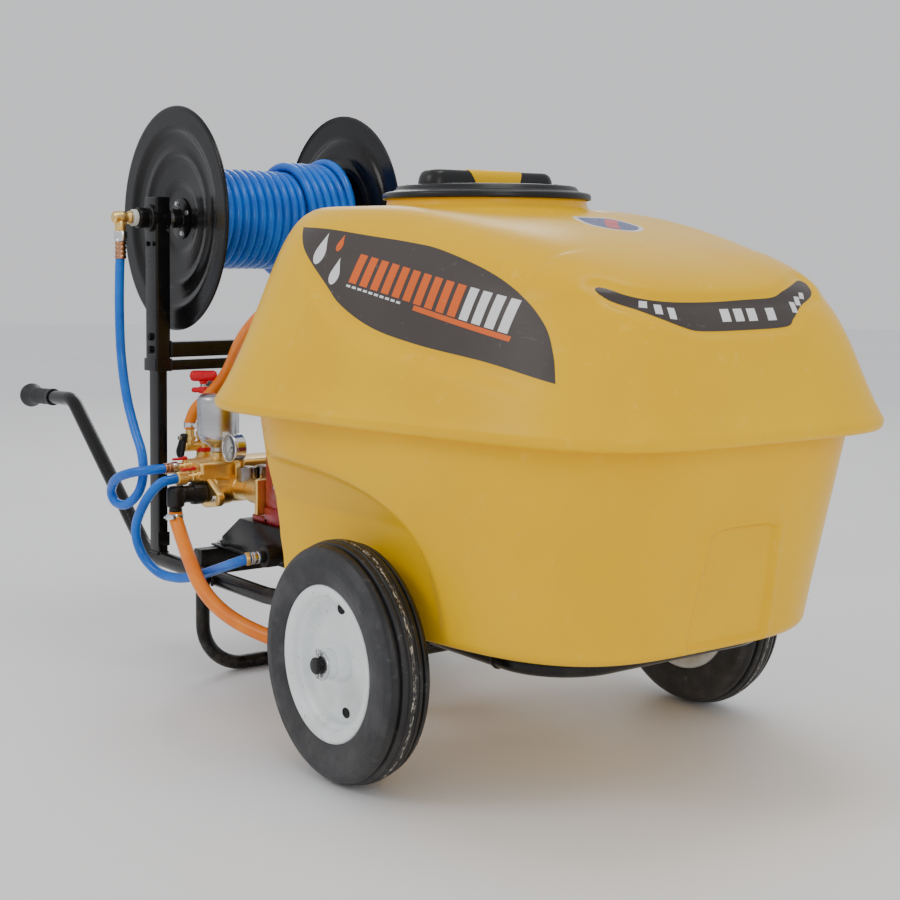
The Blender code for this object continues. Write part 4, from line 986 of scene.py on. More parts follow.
def wheel_recess(x, y, z, inset):
    """Presses the lower sides in beside the wheels, under an arch that falls towards the front."""
    reach = (max(x + 0.42, 0) / 0.59) ** 4 + (max(z - 0.10, 0) / 0.355) ** 4
    share = min(max((1.12 - reach) / 0.24, 0), 1)
    share = share * share * (3 - 2 * share)
    limit = 0.300 + 0.4 * max(z - 0.38, 0) - inset
    if abs(y) <= limit:
        return y
    return math.copysign(abs(y) + (limit - abs(y)) * share, y)


def body_point(turn, t, inset, lift=0.0, tuck=0.0):
    shrink = inset + tuck
    half_length, half_width = 0.429 - 0.053 * t - shrink, 0.353 - 0.031 * t - shrink
    x, y = superellipse(turn, 0.045 - 0.01 * t, half_length, half_width, 0.114, 3.9)
    z = LEDGE_Z + (0.245 - LEDGE_Z) * t + lift
    return x, wheel_recess(x, y, z, inset), z


def even_turns(count):
    """Turns that step evenly around the boxy outline."""
    turns = []
    for k in range(count):
        a = math.tau * (k + 0.5) / count
        c, s = abs(math.cos(a)) ** 2.15, abs(math.sin(a)) ** 2.15
        turns.append(math.atan2(math.copysign(s, math.sin(a)), math.copysign(c, math.cos(a))))
    return turns


def skin_relief(x, y, z):
    """Moulded details, as a height over the plain skin."""
    rise = 0.0007 * noise.noise(Vector((x * 5, y * 5, z * 5)))
    if abs(y) > 0.16 and 0.54 < z < 0.84 and -0.24 < x < 0.44:
        edge = next((c + (d - c) * (x - a) / (b - a) for (a, c),
            (b, d) in zip(LENS_FOOT, LENS_FOOT[1:]) if x < b), 0.614)
        below = (edge - z) * 0.93
        fade = smoothstep(x, -0.20, -0.08) * smoothstep(x, 0.43, 0.26)
        rise += 0.0062 * smoothstep(below, 0.008, 0.034) * smoothstep(below, 0.115, 0.040) * fade
    if x > 0.30 and 0.64 < z < 0.80:
        gap = outline_distance(y, z, BAND)
        rise -= 0.0050 * smoothstep(gap, 0.010, 0.003)
        rise += 0.0050 * smoothstep(gap, 0.075, 0.012) * smoothstep(z, 0.715, 0.735)
    if x > 0.30 and z < 0.44:
        across = abs(y - 0.012)
        lean = 0.066 + 0.012 * smoothstep(0.40 - z, 0.0, 0.15)
        top = 0.405 - 0.006 * (across / lean) ** 4
        gap = max(across - lean, z - top, 0.236 - z)
        rise -= 0.0095 * smoothstep(gap, 0.003, -0.006)
        rise += 0.0022 * smoothstep(abs(gap - 0.006), 0.008, 0.0)
    return rise


BAND = BAND_TOP + BAND_FOOT[-2:0:-1]


def tank_rows(inset, turns, fine):
    """Rows of the tank's skin from the floor up to the top of the neck."""
    rows = []
    drop = 0.245 - TANK_FLOOR_Z
    lifted = [(a, -drop * math.sin(math.radians(a)) + inset * (a > 40),
        drop * (1 - math.cos(math.radians(a))))
              for a in ((90, 75, 60, 45, 30, 15) if fine else (90, 40))]
    if fine:
        flat = [body_point(a, 1, 0, -drop, drop) for a in turns]
        for share in (0.15, 0.55, 0.90):
            rows.append([(0.035 + (x - 0.035) * share, y * share, z) for x, y, z in flat])
    for _, lift, tuck in lifted:
        rows.append([body_point(a, 1, inset, lift, tuck) for a in turns])
    steps = 52 if fine else 14
    for step in range(steps + 1):
        rows.append([body_point(a, 1 - step / steps, inset) for a in turns])
    if fine:
        foot = rows[-1]
        edge = ((-0.016, 0.0006), (-0.010, 0.0006), (-0.005, 0.0016), (-0.002, 0.0040), (-0.0005, 0.0075),
            (0, 0.0115))
        lip = [superellipse(a, 0.050, 0.471 - 0.016, 0.386 - 0.016, 0.1716, 4.75) for a in turns]
        for share in (0.08, 0.25, 0.6):
            rows.append([(a + (x - a) * share, b + (y - b) * share, LEDGE_Z + 0.0006 * share)
                         for (a, b, _), (x, y) in zip(foot, lip)])
        for grow, rise in edge:
            lip = [superellipse(a, 0.050, 0.471 + grow, 0.386 + grow, 0.1716, 4.75) for a in turns]
            rows.append([(x, y, LEDGE_Z + rise) for x, y in lip])
    steps = 96 if fine else 20
    for step in range(steps + 1):
        rows.append([hood_point(a, step / steps, inset) for a in turns])
    radius = NECK_RADIUS - inset
    collar = ((0.0078, 0.8528), (0.0048, 0.8542), (0.0022, 0.8570), (0.0004, 0.8610), (0, 0.8650),
        (0, 0.8705),
              (-0.0012, NECK_TOP_Z)) if fine else ((0, 0.8555), (0, NECK_TOP_Z))
    for grow, z in collar:
        rows.append([(NECK_X + (radius + grow) * math.cos(a), (radius + grow) * math.sin(a),
            z) for a in turns])
    return rows


def make_tank():
    turns = even_turns(400)
    count = len(turns)
    outer = [[Vector(p) for p in row] for row in tank_rows(0, turns, True)]
    last = len(outer) - 8
    raised = [list(row) for row in outer]
    for i in range(6, last):
        for k in range(count):
            p = outer[i][k]
            rise = skin_relief(*p)
            out = (outer[i][(k + 1) % count] - outer[i][k - 1]).cross(outer[i + 1][k] - outer[i - 1][k])
            if out.length > 1e-12:
                raised[i][k] = p + out.normalized() * rise
    rows = raised + [[Vector(p) for p in row] for row in tank_rows(0.006, turns, False)][::-1]
    points = [(p.x + AXLE_X, p.y, p.z) for row in rows for p in row]
    faces = [tuple(range(count))[::-1], tuple(range((len(rows) - 1) * count, len(rows) * count))]
    for i in range(len(rows) - 1):
        for k in range(count):
            j = (k + 1) % count
            faces.append((i * count + k, i * count + j, (i + 1) * count + j, (i + 1) * count + k))
    mesh = bpy.data.meshes.new("tank")
    mesh.from_pydata(points, [], faces)
    settle("moulded tank", mesh, TANK, nodes=["tank"], angle=50)
    reach = len(raised)
    skin_faces = [f for f in faces[2:] if max(f) < reach * count]
    return BVHTree.FromPolygons(points, skin_faces)


def film(name, hull, top, foot, plane, mat, lift=0.0004, columns=90, rows=26, from_side=-1,
         round_route=True):
    """A thin printed film that follows the tank between an upper and a lower edge drawn in a plane."""

    def edge(points):
        return smooth_route([(a, b, 0) for a, b in points], 1.0 / 2000) if round_route else None

    def sample(route, count):
        return [route[round(i * (len(route) - 1) / count)] for i in range(count + 1)]

    upper, lower = sample(edge(top), columns), sample(edge(foot), columns)
    bm = bmesh.new()
    layers = []
    for thick in (lift, -0.0006):
        sheet = []
        for a, b in zip(upper, lower):
            line = []
            for k in range(rows + 1):
                spot = a.lerp(b, k / rows)
                if plane == "XZ":
                    start, way = Vector((spot.x + AXLE_X, from_side * 1.0, spot.y)), Vector((0, -from_side,
                        0))
                elif plane == "YZ":
                    start, way = Vector((2.0, spot.x, spot.y)), Vector((-1, 0, 0))
                else:
                    start, way = Vector((spot.x + AXLE_X, spot.y, 2.0)), Vector((0, 0, -1))
                hit, normal, _, _ = hull.ray_cast(start, way)
                if normal.dot(way) > 0:
                    normal = -normal
                line.append(hit + normal * thick)
            sheet.append(line)
        layers.append(sheet)
    made = [[[bm.verts.new(p) for p in line] for line in sheet] for sheet in layers]
    for sheet in made:
        skin(bm, sheet, round_columns=False)
    front, back = made

    def border(sheet):
        right = [line[-1] for line in sheet[:-1]]
        left = [line[0] for line in sheet[:0:-1]]
        return sheet[0][:-1] + right + sheet[-1][:0:-1] + left

    skin(bm, [border(front), border(back)])
    bmesh.ops.remove_doubles(bm, verts=bm.verts, dist=2e-5)
    bmesh.ops.translate(bm, vec=(-AXLE_X, 0, 0), verts=bm.verts)
    return put(name, bm, mat, angle=60)


def strip(points, width):
    """Upper and lower edges of a strip of constant width along points drawn in a plane."""
    top, foot = [], []
    for i, (a, b) in enumerate(points):
        c, d = points[min(i + 1, len(points) - 1)], points[max(i - 1, 0)]
        along = Vector((c[0] - d[0], c[1] - d[1])).normalized()
        top.append((a - along.y * width / 2, b + along.x * width / 2))
        foot.append((a + along.y * width / 2, b - along.x * width / 2))
    return top, foot


def make_decals(hull):
    for side, name in ((-1, "right"), (1, "left")):
        film(f"{name} side film", hull, LENS_TOP, LENS_FOOT, "XZ", DECAL, from_side=side)
        spots = (((-0.146, 0.7860), 0.0245, DECAL_WHITE), ((-0.094, 0.7520), 0.0205, DECAL_WHITE),
                 ((-0.107, 0.7955), 0.0130, DECAL_ORANGE))
        for k, ((a, b), size, mat) in enumerate(spots):
            drop = [(a + size * 0.85 * s, b + size * c) for s, c in
                    ((0, 1.05), (0.16, 0.7), (0.40, 0.30), (0.60, -0.12), (0.56, -0.52), (0.30, -0.82),
                        (0, -0.92))]
            mirror = [(2 * a - u, v) for u, v in drop]
            film(f"{name} drop mark {k}", hull, drop, mirror, "XZ", mat, 0.0007, 24, 10, side)
        for k in range(14):
            start = -0.057 + 0.0258 * k
            ends = [(v, 0.7797 - 0.172 * (v + 0.056)) for v in (start, start + 0.0172)]
            high = 0.0425 + 0.00015 * k
            top = [(v + 0.005, z) for v, z in ends]
            foot = [(v, z - high) for v, z in ends]
            film(f"{name} side bar {k}", hull, top, foot, "XZ", DECAL_WHITE if k > 9 else DECAL_ORANGE,
                0.0007, 8, 12, side)
        top, foot = strip([(0.101, 0.7040), (0.170, 0.6917), (0.240, 0.6793), (0.303, 0.6680)], 0.0070)
        film(f"{name} side underline", hull, top, foot, "XZ", DECAL_ORANGE, 0.0007, 40, 4, side)
        for k in range(10):
            start = -0.059 + 0.0133 * k
            top, foot = strip([(start, 0.7326 - 0.00238 * k), (start + 0.0090, 0.7310 - 0.00238 * k)],
                0.0032)
            film(f"{name} side dash {k}", hull, top, foot, "XZ", DECAL_WHITE, 0.0007, 6, 3, side)
    film("front band film", hull, BAND_TOP, BAND_FOOT, "YZ", DECAL)
    for k, (y, z,
        high) in enumerate(((-0.176, 0.7165, 0.0085), (-0.158, 0.7100, 0.0120), (-0.140, 0.7045, 0.0145),
                                      (0.098, 0.7085, 0.0145), (0.114, 0.7170, 0.0120),
                                      (0.130, 0.7240, 0.0085))):
        top = [(y + 0.0015, z + high / 2), (y + 0.012, z + high / 2 - 0.001)]
        foot = [(y - 0.0025, z - high / 2), (y + 0.008, z - high / 2 - 0.001)]
        film(f"front band mark {k}", hull, top, foot, "YZ", DECAL_WHITE, 0.0007, 8, 6)
    for k in range(4):
        y = -0.052 + 0.026 * k + (0.012 if k == 3 else 0)
        top = [(y + 0.004, 0.7080), (y + 0.021, 0.7082)]
        foot = [(y, 0.6915), (y + 0.017, 0.6917)]
        film(f"front band bar {k}", hull, top, foot, "YZ", DECAL_WHITE, 0.0007, 8, 6)
    badge = [(0.098, -0.012), (0.100, 0.028), (0.104, 0.062), (0.135, 0.070), (0.170, 0.067)]
    badge_foot = [(0.098, -0.012), (0.130, -0.026), (0.168, -0.030), (0.196, -0.010), (0.206, 0.020),
        (0.192, 0.050),
                  (0.170, 0.067)]
    film("hood badge border", hull, badge, badge_foot, "XY", DECAL_WHITE, 0.0003, 40, 14)
    middle = Vector((0.150, 0.020))

    def shrunk(points, share):
        return [tuple(middle + (Vector(p) - middle) * share) for p in points]

    film("hood badge field", hull, shrunk(badge, 0.86), shrunk(badge_foot, 0.86), "XY", DECAL_BLUE, 0.0006,
        40, 14)
    top, foot = strip([(0.118, 0.052), (0.150, 0.022), (0.186, -0.004)], 0.020)
    film("hood badge sash", hull, top, foot, "XY", DECAL_RED, 0.0009, 20, 5)


def make_lid():
    at = (NECK_X, 0, 0)
    cap = [(0, 0.8782), (0.1685, 0.8782), (0.1685, 0.8692), (0.1715, 0.8690), (0.1725, 0.8700),
        (0.1727, 0.8730),
           (0.1724, 0.8765), (0.1708, 0.8790), (0.1670, 0.8806), (0.1560, 0.8826), (0.1525, 0.8840),
           (0.1500, 0.8880),
           (0.1470, 0.8912), (0.1430, 0.8920), (0.0900, 0.8920), (0.0885, 0.8910), (0.0870, 0.8920),
           (0, 0.8920)]
    put("screw lid", lathe(cap, 200, at=at, soft=0.0008), PLASTIC, "lid", ["lid"])
    bm = bmesh.new()
    rows = []
    for inset, z in ((0.0, 0.8905), (0.0, 0.8960), (0.0015, 0.9045), (0.0040, 0.9110), (0.0075, 0.9148),
        (0.0115, 0.9165),
                     (0.0160, 0.9170)):
        outline = rounded_box(0.030 - inset * 0.9, 0.131 - inset * 1.3, max(0.026 - inset * 0.9, 0.004), 10)
        rows.append([bm.verts.new((NECK_X + a, b, z)) for a, b in outline])
    skin(bm, rows)
    bm.faces.new(rows[0])
    bm.faces.new(rows[-1])
    put("lid grip bar", bm, PLASTIC, "lid", angle=60)
    saddle = []
    for a, z in ((-0.0308, 0.8915), (-0.0308, 0.8965), (-0.0294, 0.9053), (-0.0272, 0.9120),
        (-0.0237, 0.9160),
                 (-0.0190, 0.9178)):
        saddle.append((a, z))
    saddle += [(-a, z) for a, z in reversed(saddle)]
    bm = bmesh.new()
    rows = []
    for y, lean in ((-0.0435, 1), (-0.0425, 1), (0.0425, -1), (0.0435, -1)):
        inner = 0.0006 if abs(y) > 0.043 else 0
        rows.append([bm.verts.new((NECK_X + a * (1 - inner * 20),
            y + lean * 0.010 * ((z - 0.8915) / 0.0235 - 1) * -1 - lean * 0.010,
                                   z - inner)) for a, z in saddle])
    skin(bm, rows, round_columns=True)
    bm.faces.new(rows[0])
    bm.faces.new(rows[-1])
    put("lid grip insert", bm, TANK, "lid", angle=45)
    spokes = []
    for k in range(12):
        rib = slab((0.094, -0.0012, 0.8912), (0.1415, 0.0012, 0.8928), 0.0006, 2)
        spokes.append(moved(rib, at, turn=15 + 30 * k))
    put("lid ribs", join(*spokes), PLASTIC, "lid")


def make_tank_fittings():
    x, y = OUTLET
    boss = [(0, 0.1605), (0.0118, 0.1605), (0.0128, 0.163), (0.0112, 0.166), (0.0128, 0.169),
        (0.0115, 0.1725),
            (0.0115, 0.186), (0.021, 0.186), (0.021, 0.205), (0.030, 0.205), (0.030, 0.2230), (0, 0.2230)]
    nut = moved(hexagon(0.0400, 0.1865, 0.2045), (x, y, 0))
    put("sump outlet", join(lathe(boss, 48, at=(x, y, 0)), nut), PLASTIC,
        nodes=["tank_outlet"])
    spout = [(0, -0.052), (0.0102, -0.052), (0.0110, -0.048), (0.0098, -0.044), (0.0110, -0.040),
        (0.0092, -0.036),
             (0.009, -0.024), (0.017, -0.024), (0.017, -0.008), (0.026, -0.008), (0.026, 0.0), (0, 0.0)]
    nut = moved(hexagon(0.033, -0.0235, -0.0085), RETURN_INLET, (1, 0, 0))
    put("return inlet", join(lathe(spout, 40, "X", RETURN_INLET), nut), PLASTIC,
        nodes=["return_fitting"])
    x, y, z = AGITATOR
    body = lathe([(0, -0.0535), (0.0105, -0.0535), (0.0125, -0.0525), (0.0125, -0.050), (0.0145, -0.048),
                  (0.0145, 0.006), (0.0125, 0.010), (0, 0.010)], 40, "Y", AGITATOR)
    nut = knurled((x, y - 0.0545, z), (x, y - 0.028, z), 0.0195, 22, 0.0012)
    neck = lathe([(0, -0.002), (0.0135, -0.002), (0.0135, 0.024), (0.0190, 0.0255), (0.0190, 0.032),
        (0.024, 0.033),
                  (0.024, 0.042), (0, 0.042)], 40, "X", AGITATOR)
    tail = lathe([(0, -0.0621), (0.0105, -0.0621), (0.0105, -0.050), (0, -0.050)], 32, "Y", AGITATOR)
    flats = moved(hexagon(0.0345, 0.0255, 0.0325), AGITATOR, (1, 0, 0))
    put("agitator elbow", join(body, nut, neck, tail, flats), PLASTIC,
        nodes=["agitator_elbow"])


hull = make_tank()
make_decals(hull)
make_lid()
make_tank_fittings()


# ---------------------------------------------------------------- wheels


def tyre_profile():
    """Half of the section, from the bead out to the middle of the tread."""
    half = [(0.1010, 0.0286), (0.1150, 0.0292), (0.1168, 0.0345), (0.1210, 0.0362), (0.1320, 0.0394),
        (0.1450, 0.0413),
            (0.1540, 0.0406), (0.1580, 0.0395), (0.1592, 0.0398), (0.1606, 0.0385), (0.1660, 0.0352),
            (0.1700, 0.0316),
            (0.1728, 0.0270), (0.1738, 0.0238), (0.1732, 0.0225), (0.1690, 0.0214), (0.1690, 0.0182),
            (0.1752, 0.0172),
            (0.1768, 0.0150), (0.1780, 0.0110), (0.1776, 0.0098), (0.1762, 0.0092), (0.1764, 0.0080),
            (0.1788, 0.0070),
            (0.1795, 0.0045), (0.1797, 0.0020)]
    return half + [(0.17985, 0.0)] + [(r, -h) for r, h in reversed(half)]


def make_wheel(side):
    name = "right" if side < 0 else "left"
    body = f"{name}_wheel"
    at = (0, side * WHEEL_Y, WHEEL_RADIUS)

    def seam(r, h, turn):
        if abs(h) > 0.0045 or r < 0.179:
            return r, h
        rag = noise.noise(Vector((math.cos(turn) * 9, math.sin(turn) * 9, h * 300 + 5 * side)))
        return r - 0.0009 + 0.0010 * max(-1, min(1, 2.2 * rag)), h + 0.0007 * rag

    tyre = lathe(tyre_profile(), 260, "Y", at, soft=0.0008, shape=seam)
    put(f"{name} tyre", tyre, TYRE, body, [f"{name}_tyre"])
    rim = [(0.0168, 0.040), (0.0215, 0.040), (0.0215, 0.0090), (0.0260, 0.0070), (0.0400, 0.0052),
        (0.0560, 0.0028),
           (0.0720, 0.0018), (0.0830, 0.0020), (0.0880, 0.0040), (0.0900, 0.0080), (0.0910, 0.0190),
           (0.0940, 0.0215),
           (0.0965, 0.0230), (0.0978, 0.0290),
           (0.1005, 0.0322), (0.1050, 0.0345), (0.1110, 0.0362), (0.1150, 0.0352), (0.1166, 0.0320),
           (0.1155, 0.0298),
           (0.1100, 0.0298), (0.1020, 0.0290), (0.1000, 0.0280), (0.1000, -0.0280), (0.1020, -0.0290),
           (0.1155, -0.0298),
           (0.1166, -0.0320), (0.1150, -0.0352), (0.1110, -0.0362), (0.1050, -0.0345), (0.0985, -0.0310),
           (0.0970, -0.0270),
           (0.0950, -0.0100), (0.0880, -0.0010), (0.0720, -0.0012), (0.0400, 0.0020), (0.0215, 0.0050),
           (0.0215, -0.040),
           (0.0168, -0.040)]
    parts = [lathe([(r, side * h) for r, h in rim], 160, "Y", at, soft=0.0016, steps=3)]
    boss = [(0.0217, 0.0040), (0.0300, 0.0040), (0.0290, 0.0100), (0.0268, 0.0240), (0.0245, 0.0260),
        (0.0217, 0.0265)]
    parts.append(lathe([(r, side * h) for r, h in boss], 96, "Y", at, soft=0.001, steps=3))
    put(f"{name} rim", join(*parts), RIM, body, [f"{name}_rim"])
    slot_shades = []
    # Dark cups set in the two rim slots: painted shade for the slots' hollows.
    for turn in (math.radians(95), math.radians(275)):
        cup = lathe([(0, 0.0), (0.0078, 0.0), (0.0078, 0.0012), (0.0058, 0.0017), (0.0052, 0.0008),
            (0, 0.0008)], 36, soft=0.0003)
        bmesh.ops.scale(cup, vec=(1.0, 1.25, 1), verts=cup.verts)
        cup.transform(Vector((0, side, 0)).to_track_quat("Z", "X").to_matrix().to_4x4())
        spot = (0.0765 * math.cos(turn), side * (WHEEL_Y + 0.0016), WHEEL_RADIUS + 0.0765 * math.sin(turn))
        bmesh.ops.translate(cup, vec=spot, verts=cup.verts)
        slot_shades.append(cup)
    put(f"{name} rim slots", join(*slot_shades), SLOT_SHADE_BLACK, body)
    bush = [(0.0128, -0.0405), (0.0165, -0.0405), (0.0165, 0.0405), (0.0128, 0.0405)]
    put(f"{name} bush", lathe(bush, 48, "Y", at, soft=0.0003), NYLON, body, [f"{name}_bush"])


def make_axle():
    end = AXLE_END_Y
    profile = [(0, -end), (0.0105, -end), (0.0125, 0.002 - end), (0.0125, end - 0.002), (0.0105, end),
        (0, end)]
    parts = [lathe(profile, 48, "Y", (0, 0, WHEEL_RADIUS))]
    for side in (-1, 1):
        saddle = slab((-0.020, side * RAIL_Y - 0.009, 0.1800), (0.020, side * RAIL_Y + 0.009, 0.2010),
            0.003)
        parts.append(saddle)
        for x in (-0.0205, 0.0205):
            parts.append(bead([(x, side * RAIL_Y - 0.010, 0.1965), (x, side * RAIL_Y + 0.010, 0.1965)]))
    put("axle bar", join(*parts), PAINT, nodes=["axle_bar"])
    for side, name in ((-1, "right"), (1, "left")):
        out = [(0.0128, 0.4030), (0.0225, 0.4030), (0.0230, 0.4038), (0.0225, 0.4058), (0.0128, 0.4058)]
        inn = [(0.0128, 0.3060), (0.0200, 0.3060), (0.0205, 0.3070), (0.0205, 0.3205), (0.0128, 0.3212)]
        washers = [lathe([(r, side * h) for r, h in ring], 56, "Y", (0, 0, WHEEL_RADIUS),
            soft=0.0004) for ring in (out, inn)]
        put(f"{name} axle washers", join(*washers), ZINC)
        pin = [(0, -0.0185), (0.0018, -0.0190), (0.0024, -0.018), (0.0024, 0.0180), (0, 0.0180)]
        eye = [Vector((0.0038 * math.cos(a), 0, 0.0205 + 0.0038 * math.sin(a))) for a in
               [math.tau * k / 24 for k in range(24)]]
        cotter = join(lathe(pin, 20), sweep(eye, 0.0013, 10, ring=True))
        put(f"{name} split pin", moved(cotter, (0, side * PIN_Y, WHEEL_RADIUS)), STEEL)


make_wheel(-1)
make_wheel(1)
make_axle()


# ---------------------------------------------------------------- chassis


def make_rails():
    for side, name in ((-1, "right"), (1, "left")):
        y = side * RAIL_Y
        corners = [(-1.512, y, 0.4515), (-1.296, y, 0.460), (-0.929, y, RAIL_LOW_Z),
            (-0.460, y, RAIL_LOW_Z),
                   (-0.120, y, RAIL_TOP_Z), (0.1997, y, RAIL_TOP_Z)]
        path = rounded(corners, [0.07, 0.13, 0.3, 0.3])
        beads = [ring_bead((0.1998, y, RAIL_TOP_Z), (1, 0, 0), TUBE_RADIUS + 0.0004, 0.0022)]
        foot = RAIL_LOW_Z + TUBE_RADIUS
        for dx in (-0.021, 0.021):
            beads.append(bead([(POST_X + dx, y - 0.009, foot - 0.002),
                (POST_X + dx, y + 0.009, foot - 0.002)], 0.0032))
        for dy in (-0.010, 0.010):
            beads.append(bead([(POST_X - 0.019, y + dy, foot - 0.0025),
                (POST_X + 0.019, y + dy, foot - 0.0025)], 0.0032))
        put(f"{name} side tube", join(sweep(path, TUBE_RADIUS, 32), *beads), PAINT,
            nodes=[f"{name}_side_tube"], angle=50)
    z = RAIL_TOP_Z
    corners = [(0.2, -RAIL_Y, z), (0.316, -RAIL_Y, z), (0.316, RAIL_Y, z), (0.2, RAIL_Y, z)]
    put("front hoop", sweep(rounded(corners, [0.1, 0.1], 20), TUBE_RADIUS, 32), PAINT,
        nodes=["front_hoop"])


def make_beam_and_stand():
    beam = square_tube((-0.730, -0.231, 0.1715), (-0.700, 0.231, 0.2215), 0.0025, "Y", 0.0045)
    parts = [beam]
    for side in (-1, 1):
        cap = slab((-0.7272, side * 0.2295 - 0.0012, 0.1745), (-0.7028, side * 0.2295 + 0.0012, 0.2187),
            0.0008, 2)
        parts.append(cap)
        for x in (-0.7308, -0.6992):
            parts.append(bead([(x, side * 0.2140, 0.1760), (x, side * 0.2160, 0.1905),
                (x, side * 0.2250, 0.1945)], 0.0027))
    put("rear cross beam", join(*parts), PAINT, nodes=["rear_cross_beam"])
    y, foot = RAIL_Y + 0.015 + 0.013 + 0.0003, 0.0131
    corners = [(-0.645, -y, 0.193), (-0.645, -y, foot), (-0.645, y, foot), (-0.645, y, 0.193)]
    path = rounded(corners, [0.085, 0.085], 20)
    domes = []
    for side in (-1, 1):
        dome = lathe([(0, 0.1975), (0.006, 0.1970), (0.0105, 0.1952), (0.0128, 0.1915), (0.0128, 0.186),
            (0, 0.186)], 32,
                     at=(-0.645, side * y, 0))
        domes.append(dome)
        for x in (-0.6565, -0.6335):
            domes.append(bead([(x, side * 0.2440, 0.166), (x, side * 0.2440, 0.190)], 0.0030))
    put("rear stand", join(sweep(path, 0.013, 30), *domes), PAINT, nodes=["rear_stand"])


def make_posts():
    foot = RAIL_LOW_Z + TUBE_RADIUS - 0.001
    for side, name in ((-1, "right"), (1, "left")):
        y = side * RAIL_Y
        post = square_tube((POST_X - 0.020, y - 0.010, foot), (POST_X + 0.020, y + 0.010, 0.75), 0.002,
            "Z", 0.003)
        lug = slab((POST_X + 0.018, y - 0.0125, 0.205), (POST_X + 0.0225, y + 0.0125, 0.232), 0.001)
        put(f"{name} post", join(post, lug), PAINT, nodes=[f"{name}_post"])
        sleeve = square_tube((POST_X - 0.025, y - 0.015, 0.5485), (POST_X + 0.025, y + 0.015, 0.8862),
            0.0035, "Z", 0.004)
        collar = square_tube((POST_X - 0.0282, y - 0.0182, 0.5482), (POST_X + 0.0282, y + 0.0182, 0.5722),
            0.0036, "Z", 0.005)
        cap = slab((POST_X - 0.0240, y - 0.0140, 0.8820), (POST_X + 0.0240, y + 0.0140, 0.8868), 0.0015)
        housing = lathe([(0.0180, -0.0165), (0.0270, -0.0165), (0.0270, -0.0150), (0.0270, 0.0150),
            (0.0270, 0.0165),
                         (0.0180, 0.0165)], 48, "Y", (POST_X, y, REEL_Z))
        put(f"{name} reel upright", join(sleeve, collar, cap, housing), PAINT,
            nodes=[f"{name}_upright"])
        ring = [(0.0130, -0.0225), (0.0250, -0.0225), (0.0262, -0.0215), (0.0262, -0.0170),
            (0.0182, -0.0160),
                (0.0182, 0.0165), (0.0130, 0.0172)]
        put(f"{name} reel bearing", lathe([(r, -side * h) for r, h in ring], 56, "Y", (POST_X, y, REEL_Z)),
            PLASTIC,
            nodes=[f"{name}_bearing"])
        bolts = [bolt((POST_X, y + side * 0.0152, z), (0, side, 0), 0.008, turn=20 + 30 * k)
                 for k, z in enumerate((0.5895, 0.615))]
        bolts += [bolt((POST_X + dx, y + side * 0.0152, 0.796), (0, side, 0), 0.005) for dx in (-0.013,
            0.013)]
        bolts += [bolt((POST_X + 0.0252, y, 0.664), (1, 0, 0), 0.008)]
        put(f"{name} upright bolts", join(*bolts), PAINT)
    inside = RAIL_Y - 0.015 - 0.0001
    bar = square_tube((POST_X - 0.005, -inside, 0.5745), (POST_X + 0.025, inside, 0.6045), 0.002, "Y",
        0.0035)
    beads = []
    for side in (-1, 1):
        edge = side * (inside - 0.0010)
        ends = [(-0.8865, edge, 0.6050), (-0.8555, edge, 0.6050), (-0.8555, edge, 0.5740)]
        beads += [bead(ends[:2], 0.0026), bead(ends[1:], 0.0026)]
    put("upper crossbar", join(bar, *beads), PAINT, nodes=["upper_crossbar"])
    inside -= 0.0033
    bar = square_tube((POST_X, -inside, 0.5485), (POST_X + 0.020, inside, 0.5685), 0.002, "Y", 0.003)
    put("lower crossbar", bar, PAINT, nodes=["lower_crossbar"])


def make_deck():
    top = DECK_Z + 0.004
    sheet = slab((-0.7355, -0.192, DECK_Z), (-0.388, 0.2135, top), 0.0012)
    flange = slab((-0.3925, -0.2135, 0.168), (-0.3885, 0.2135, top - 0.0002), 0.0012)
    gussets = [plate([(-0.3925, 0.1775), (-0.3925, 0.2225), (-0.4400, 0.2225)], y - 0.002, y + 0.002, "XZ",
        0.0006)
               for y in (-0.150, -0.02, 0.120)]
    put("deck plate", join(sheet, flange, *gussets), PAINT, nodes=["deck_plate"])
    rear, front, high = -0.696, -0.470, BRACKET_TOP_Z
    cheek = [(rear, top), (rear, 0.244), (-0.628, high), (front, high), (front, top)]
    parts = [slab((-0.629, PUMP_Y - 0.077, high - 0.004), (front, PUMP_Y + 0.077, high), 0.0009)]
    for y in (PUMP_Y - 0.078, PUMP_Y + 0.074):
        parts.append(plate(cheek, y, y + 0.004, "XZ", 0.0009))
        seam = y + (0.0045 if y > PUMP_Y else -0.0005)
        parts.append(bead([(rear + 0.02, seam, top + 0.001), (front - 0.02, seam, top + 0.001)], 0.0022))
    put("pump bracket", join(*parts), PAINT, nodes=["pump_bracket"])
    x, leg = CRANK_AXIS[0], 0.056
    bolts = [bolt((x + dx, PUMP_Y + dy, z), (0, 0, 1), 0.0065) for dx,
        z in ((-0.126, BRACKET_TOP_Z), (-0.085, 0.2998))
             for dy in (-leg, leg)]
    bolts += [bolt((a, b, top), (0, 0, 1), 0.007) for a in (-0.728, -0.402) for b in (-0.175, 0.195)]
    put("deck bolts", join(*bolts), ZINC)


